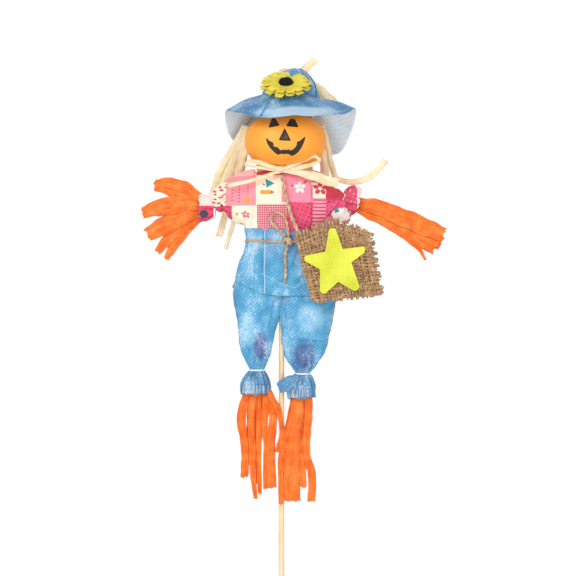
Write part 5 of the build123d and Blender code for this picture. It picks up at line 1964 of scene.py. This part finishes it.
    def build(self) -> None:
        """Make the cuffs and the strips."""
        for body, tube in self.cuffs:
            foot = body.endswith("foot")
            slot = "denim_print" if foot else "patchwork_print"
            finish = CUFF_DENIM if foot else SHIRT_PRINT
            piece = dress(tube.mesh(), body, slot, [tube.name], finish)
        flap = Ribbon(((14, -6.2, 243.6), (8, -9.6, 240.2), (2, -12.4, 236.8), (-2.4, -12.9, 235.2)),
                      (3.5, 8.5, 11.0, 8.5), (0, -1, 0.1), 0.14, 0.9, 2.0, ragged=1.0, seed=4, rows=60, columns=21)
        dress(ribbons("trouser_cuff_flap", [flap], 0.5), "right_foot", "denim_print", [], CUFF_DENIM)
        for bunch in self.bunches:
            bunch.build()


# --- Bag ----------------------------------------------------------------------------------
@dataclass(frozen=True)
class BurlapBag:
    """The flat burlap bag: two panels of loose weave with frayed edges, a felt star and dark stitches."""

    corners: tuple[Spot, ...] = ((26.2, 304.4), (77.6, 309.6), (12.8, 353.6), (68.6, 357.0))
    pitch: float = 2.5
    star_middle: Spot = (42.4, 335.0)
    star_scale: float = 0.965
    star_y: float = -22.4
    star: tuple[Spot, ...] = (
        (37.2, 361.4), (39.6, 362.3), (42.6, 362.0), (48.6, 345.4), (66.0, 347.4), (67.0, 345.4), (66.2, 342.4),
        (55.6, 334.2), (62.4, 314.6), (60.6, 311.8), (57.6, 311.0), (44.9, 318.4), (34.2, 308.9), (31.6, 309.0),
        (29.8, 311.0), (29.9, 328.6), (17.6, 335.4), (17.0, 337.6), (18.2, 340.0), (34.2, 343.2),
    )

    def place(self, a: np.ndarray, b: np.ndarray) -> np.ndarray:
        """A place on the panel.

        Args:
            a: across, from 0 at the left.
            b: up, from 0 at the bottom.
        Returns:
            X and Z in millimetres.
        """
        bl, br, tl, tr = (np.array(c) for c in self.corners)
        a, b = a[:, None], b[:, None]
        flat = bl * (1 - a) * (1 - b) + br * a * (1 - b) + tl * (1 - a) * b + tr * a * b
        lift = 8.2 * np.sin(math.pi * np.clip(a, 0, 1)) ** 1.3 * np.clip(b, 0, 1.1) ** 3
        return flat + lift * np.array([0, 1.0])

    def panel(self, name: str, y: float, seed: int) -> None:
        """Weave one panel.

        Args:
            name: its node.
            y: its middle depth.
            seed: varies its threads.
        """
        rng = np.random.default_rng(seed)
        across, upward = int(54 / self.pitch), int(50 / self.pitch)
        threads = []
        for kind, count, other in (("warp", across, upward), ("weft", upward, across)):
            for i in range(count + 1):
                at = (i + (0.5 if name == "bag_back" else 0.0)) / (count + 0.5)
                steps = np.linspace(-rng.uniform(0.02, 0.07), 1 + rng.uniform(0.02, 0.09), other * 4)
                wander = 0.010 * np.sin(steps * rng.uniform(4, 9) + rng.uniform(0, 6))
                wander = wander + rng.uniform(-0.006, 0.006)
                fixed = np.full_like(steps, at) + wander
                flat = self.place(fixed, steps) if kind == "warp" else self.place(steps, fixed)
                wave = np.cos(math.pi * steps * other + math.pi * i + (math.pi if kind == "weft" else 0))
                inside = ((steps > 0) & (steps < 1)).astype(float)
                depth = y + 0.42 * wave * inside + 0.3 * rng.uniform(-1, 1) * (1 - inside)
                path = np.stack([flat[:, 0], depth, flat[:, 1]], axis=1)
                start = (1, 0, 0) if kind == "warp" else (0, 0, 1)
                threads.append(Strand(rng.uniform(0.72, 0.96), 0.36, 6).mesh(path, start, rng.uniform(0, 9)))
        loose = []
        for i in range(7):
            at = 0.80 + 0.035 * i
            steps = np.linspace(0.66, 1.0 + rng.uniform(-0.04, 0.05), 20)
            flat = self.place(steps, np.full(20, at) + 0.02 * np.sin(steps * 9 + i))
            path = np.stack([flat[:, 0], np.full(20, y - 0.3 + 0.2 * (i % 2)), flat[:, 1]], axis=1)
            loose.append(Strand(0.55, 0.34, 6).mesh(path, (0, 0, 1), i))
        fray = dress(join(loose, f"{name}_fray"), "bag", "burlap", [], BURLAP_THREAD)
        piece = join(threads, name)
        dress(piece, "bag", "burlap", [name], BURLAP_THREAD)

    def build(self) -> None:
        """Make both panels, the star and the stitches."""
        self.panel("bag_back", -18.6, 11)
        self.panel("bag_front", -19.9, 12)
        x0, z0 = self.star_middle
        corners = [(x0 + self.star_scale * (x - x0), z0 + self.star_scale * (z - z0)) for x, z in self.star]
        star = outline_piece("felt_star", corners, 3)
        ahead = np.array([0, 1.0, 0])
        reshape(star, lambda p: p + (self.star_y + 0.16 * rumple(p, 8.0, 2))[:, None] * ahead)
        apply_modifier(star, "SOLIDIFY", thickness=1.3 * MM, offset=-1.0)
        apply_modifier(star, "BEVEL", width=0.25 * MM, segments=2, limit_method="ANGLE")
        dress(star, "bag", "lime_felt", ["felt_star"], FELT)
        rows = (
            ((0.80, 0.58), (0.80, 0.28)), ((0.88, 0.62), (0.89, 0.24)), ((0.62, 0.12), (0.36, 0.10)),
            ((0.10, 0.56), (0.20, 0.30)),
        )
        dashes = []
        for (a0, b0), (a1, b1) in rows:
            count = int(6 * math.hypot(a1 - a0, b1 - b0) / 0.3) + 1
            for t in np.linspace(0, 1, count):
                mid = np.array([a0 + (a1 - a0) * t, b0 + (b1 - b0) * t])
                step = np.array([a1 - a0, b1 - b0]) * 0.26 / count
                flat = self.place(*(np.array([m - s, m, m + s]) for m, s in zip(mid, step)))
                route = np.stack([flat[:, 0], [-20.3, -21.0, -20.3], flat[:, 1]], axis=1)
                dashes.append(Strand(0.36, 0.34, 8).mesh(smooth_path(route, 9), (0.7, 0.1, 0.7), t))
        dress(join(dashes, "bag_stitches"), "bag", "dark_yarn", ["bag_stitches"], DARK_YARN)


# --- Whole figure -------------------------------------------------------------------------
@dataclass(frozen=True)
class Frame:
    """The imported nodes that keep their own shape, and their finishes."""

    finishes: tuple[tuple[str, Finish], ...] = (
        ("stick", BAMBOO), ("crossbar", BAMBOO), ("crossbar_lashing", WIRE), ("hair_pad", RAFFIA_PAD),
        ("torso_wadding", WADDING), ("flower_hub", HUB),
        *((f"{joint}_tie_{side}", ELASTIC) for joint in ("ankle", "wrist") for side in ("left", "right")),
    )

    def build(self, nodes: dict[str, Piece]) -> None:
        """Give each kept node its material.

        Args:
            nodes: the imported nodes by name.
        """
        for name, finish in self.finishes:
            node = nodes[name]
            for part in (node, *node.children_recursive):
                for material_slot in part.material_slots:
                    material_slot.material = material_of(finish)
            LOG.info("%s keeps its packed shape", name)


def size_note() -> None:
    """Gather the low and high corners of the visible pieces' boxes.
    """
    bpy.context.view_layer.update()
    lows, highs = [], []
    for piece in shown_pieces():
        if piece.type == "MESH" and not piece.hide_render:
            places = np.array([piece.matrix_world @ Vector(corner) for corner in piece.bound_box])
            lows.append(places.min(axis=0))
            highs.append(places.max(axis=0))


def main() -> None:
    """Load the frame, make every piece and finish."""
    logging.basicConfig(level=logging.INFO, format="%(name)s: %(message)s")
    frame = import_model()
    Studio().build()
    Twine().build()
    Frame().build(frame["nodes"])
    for part in (Head(), Hat(), Sunflower(), RaffiaHair(), NeckBow(), Shirt(), Trousers(), GatheredEnds(),
                 BurlapBag()):
        part.build()
        LOG.info("made %s", type(part).__name__)
    size_note()


if __name__ == "__main__":
    main()
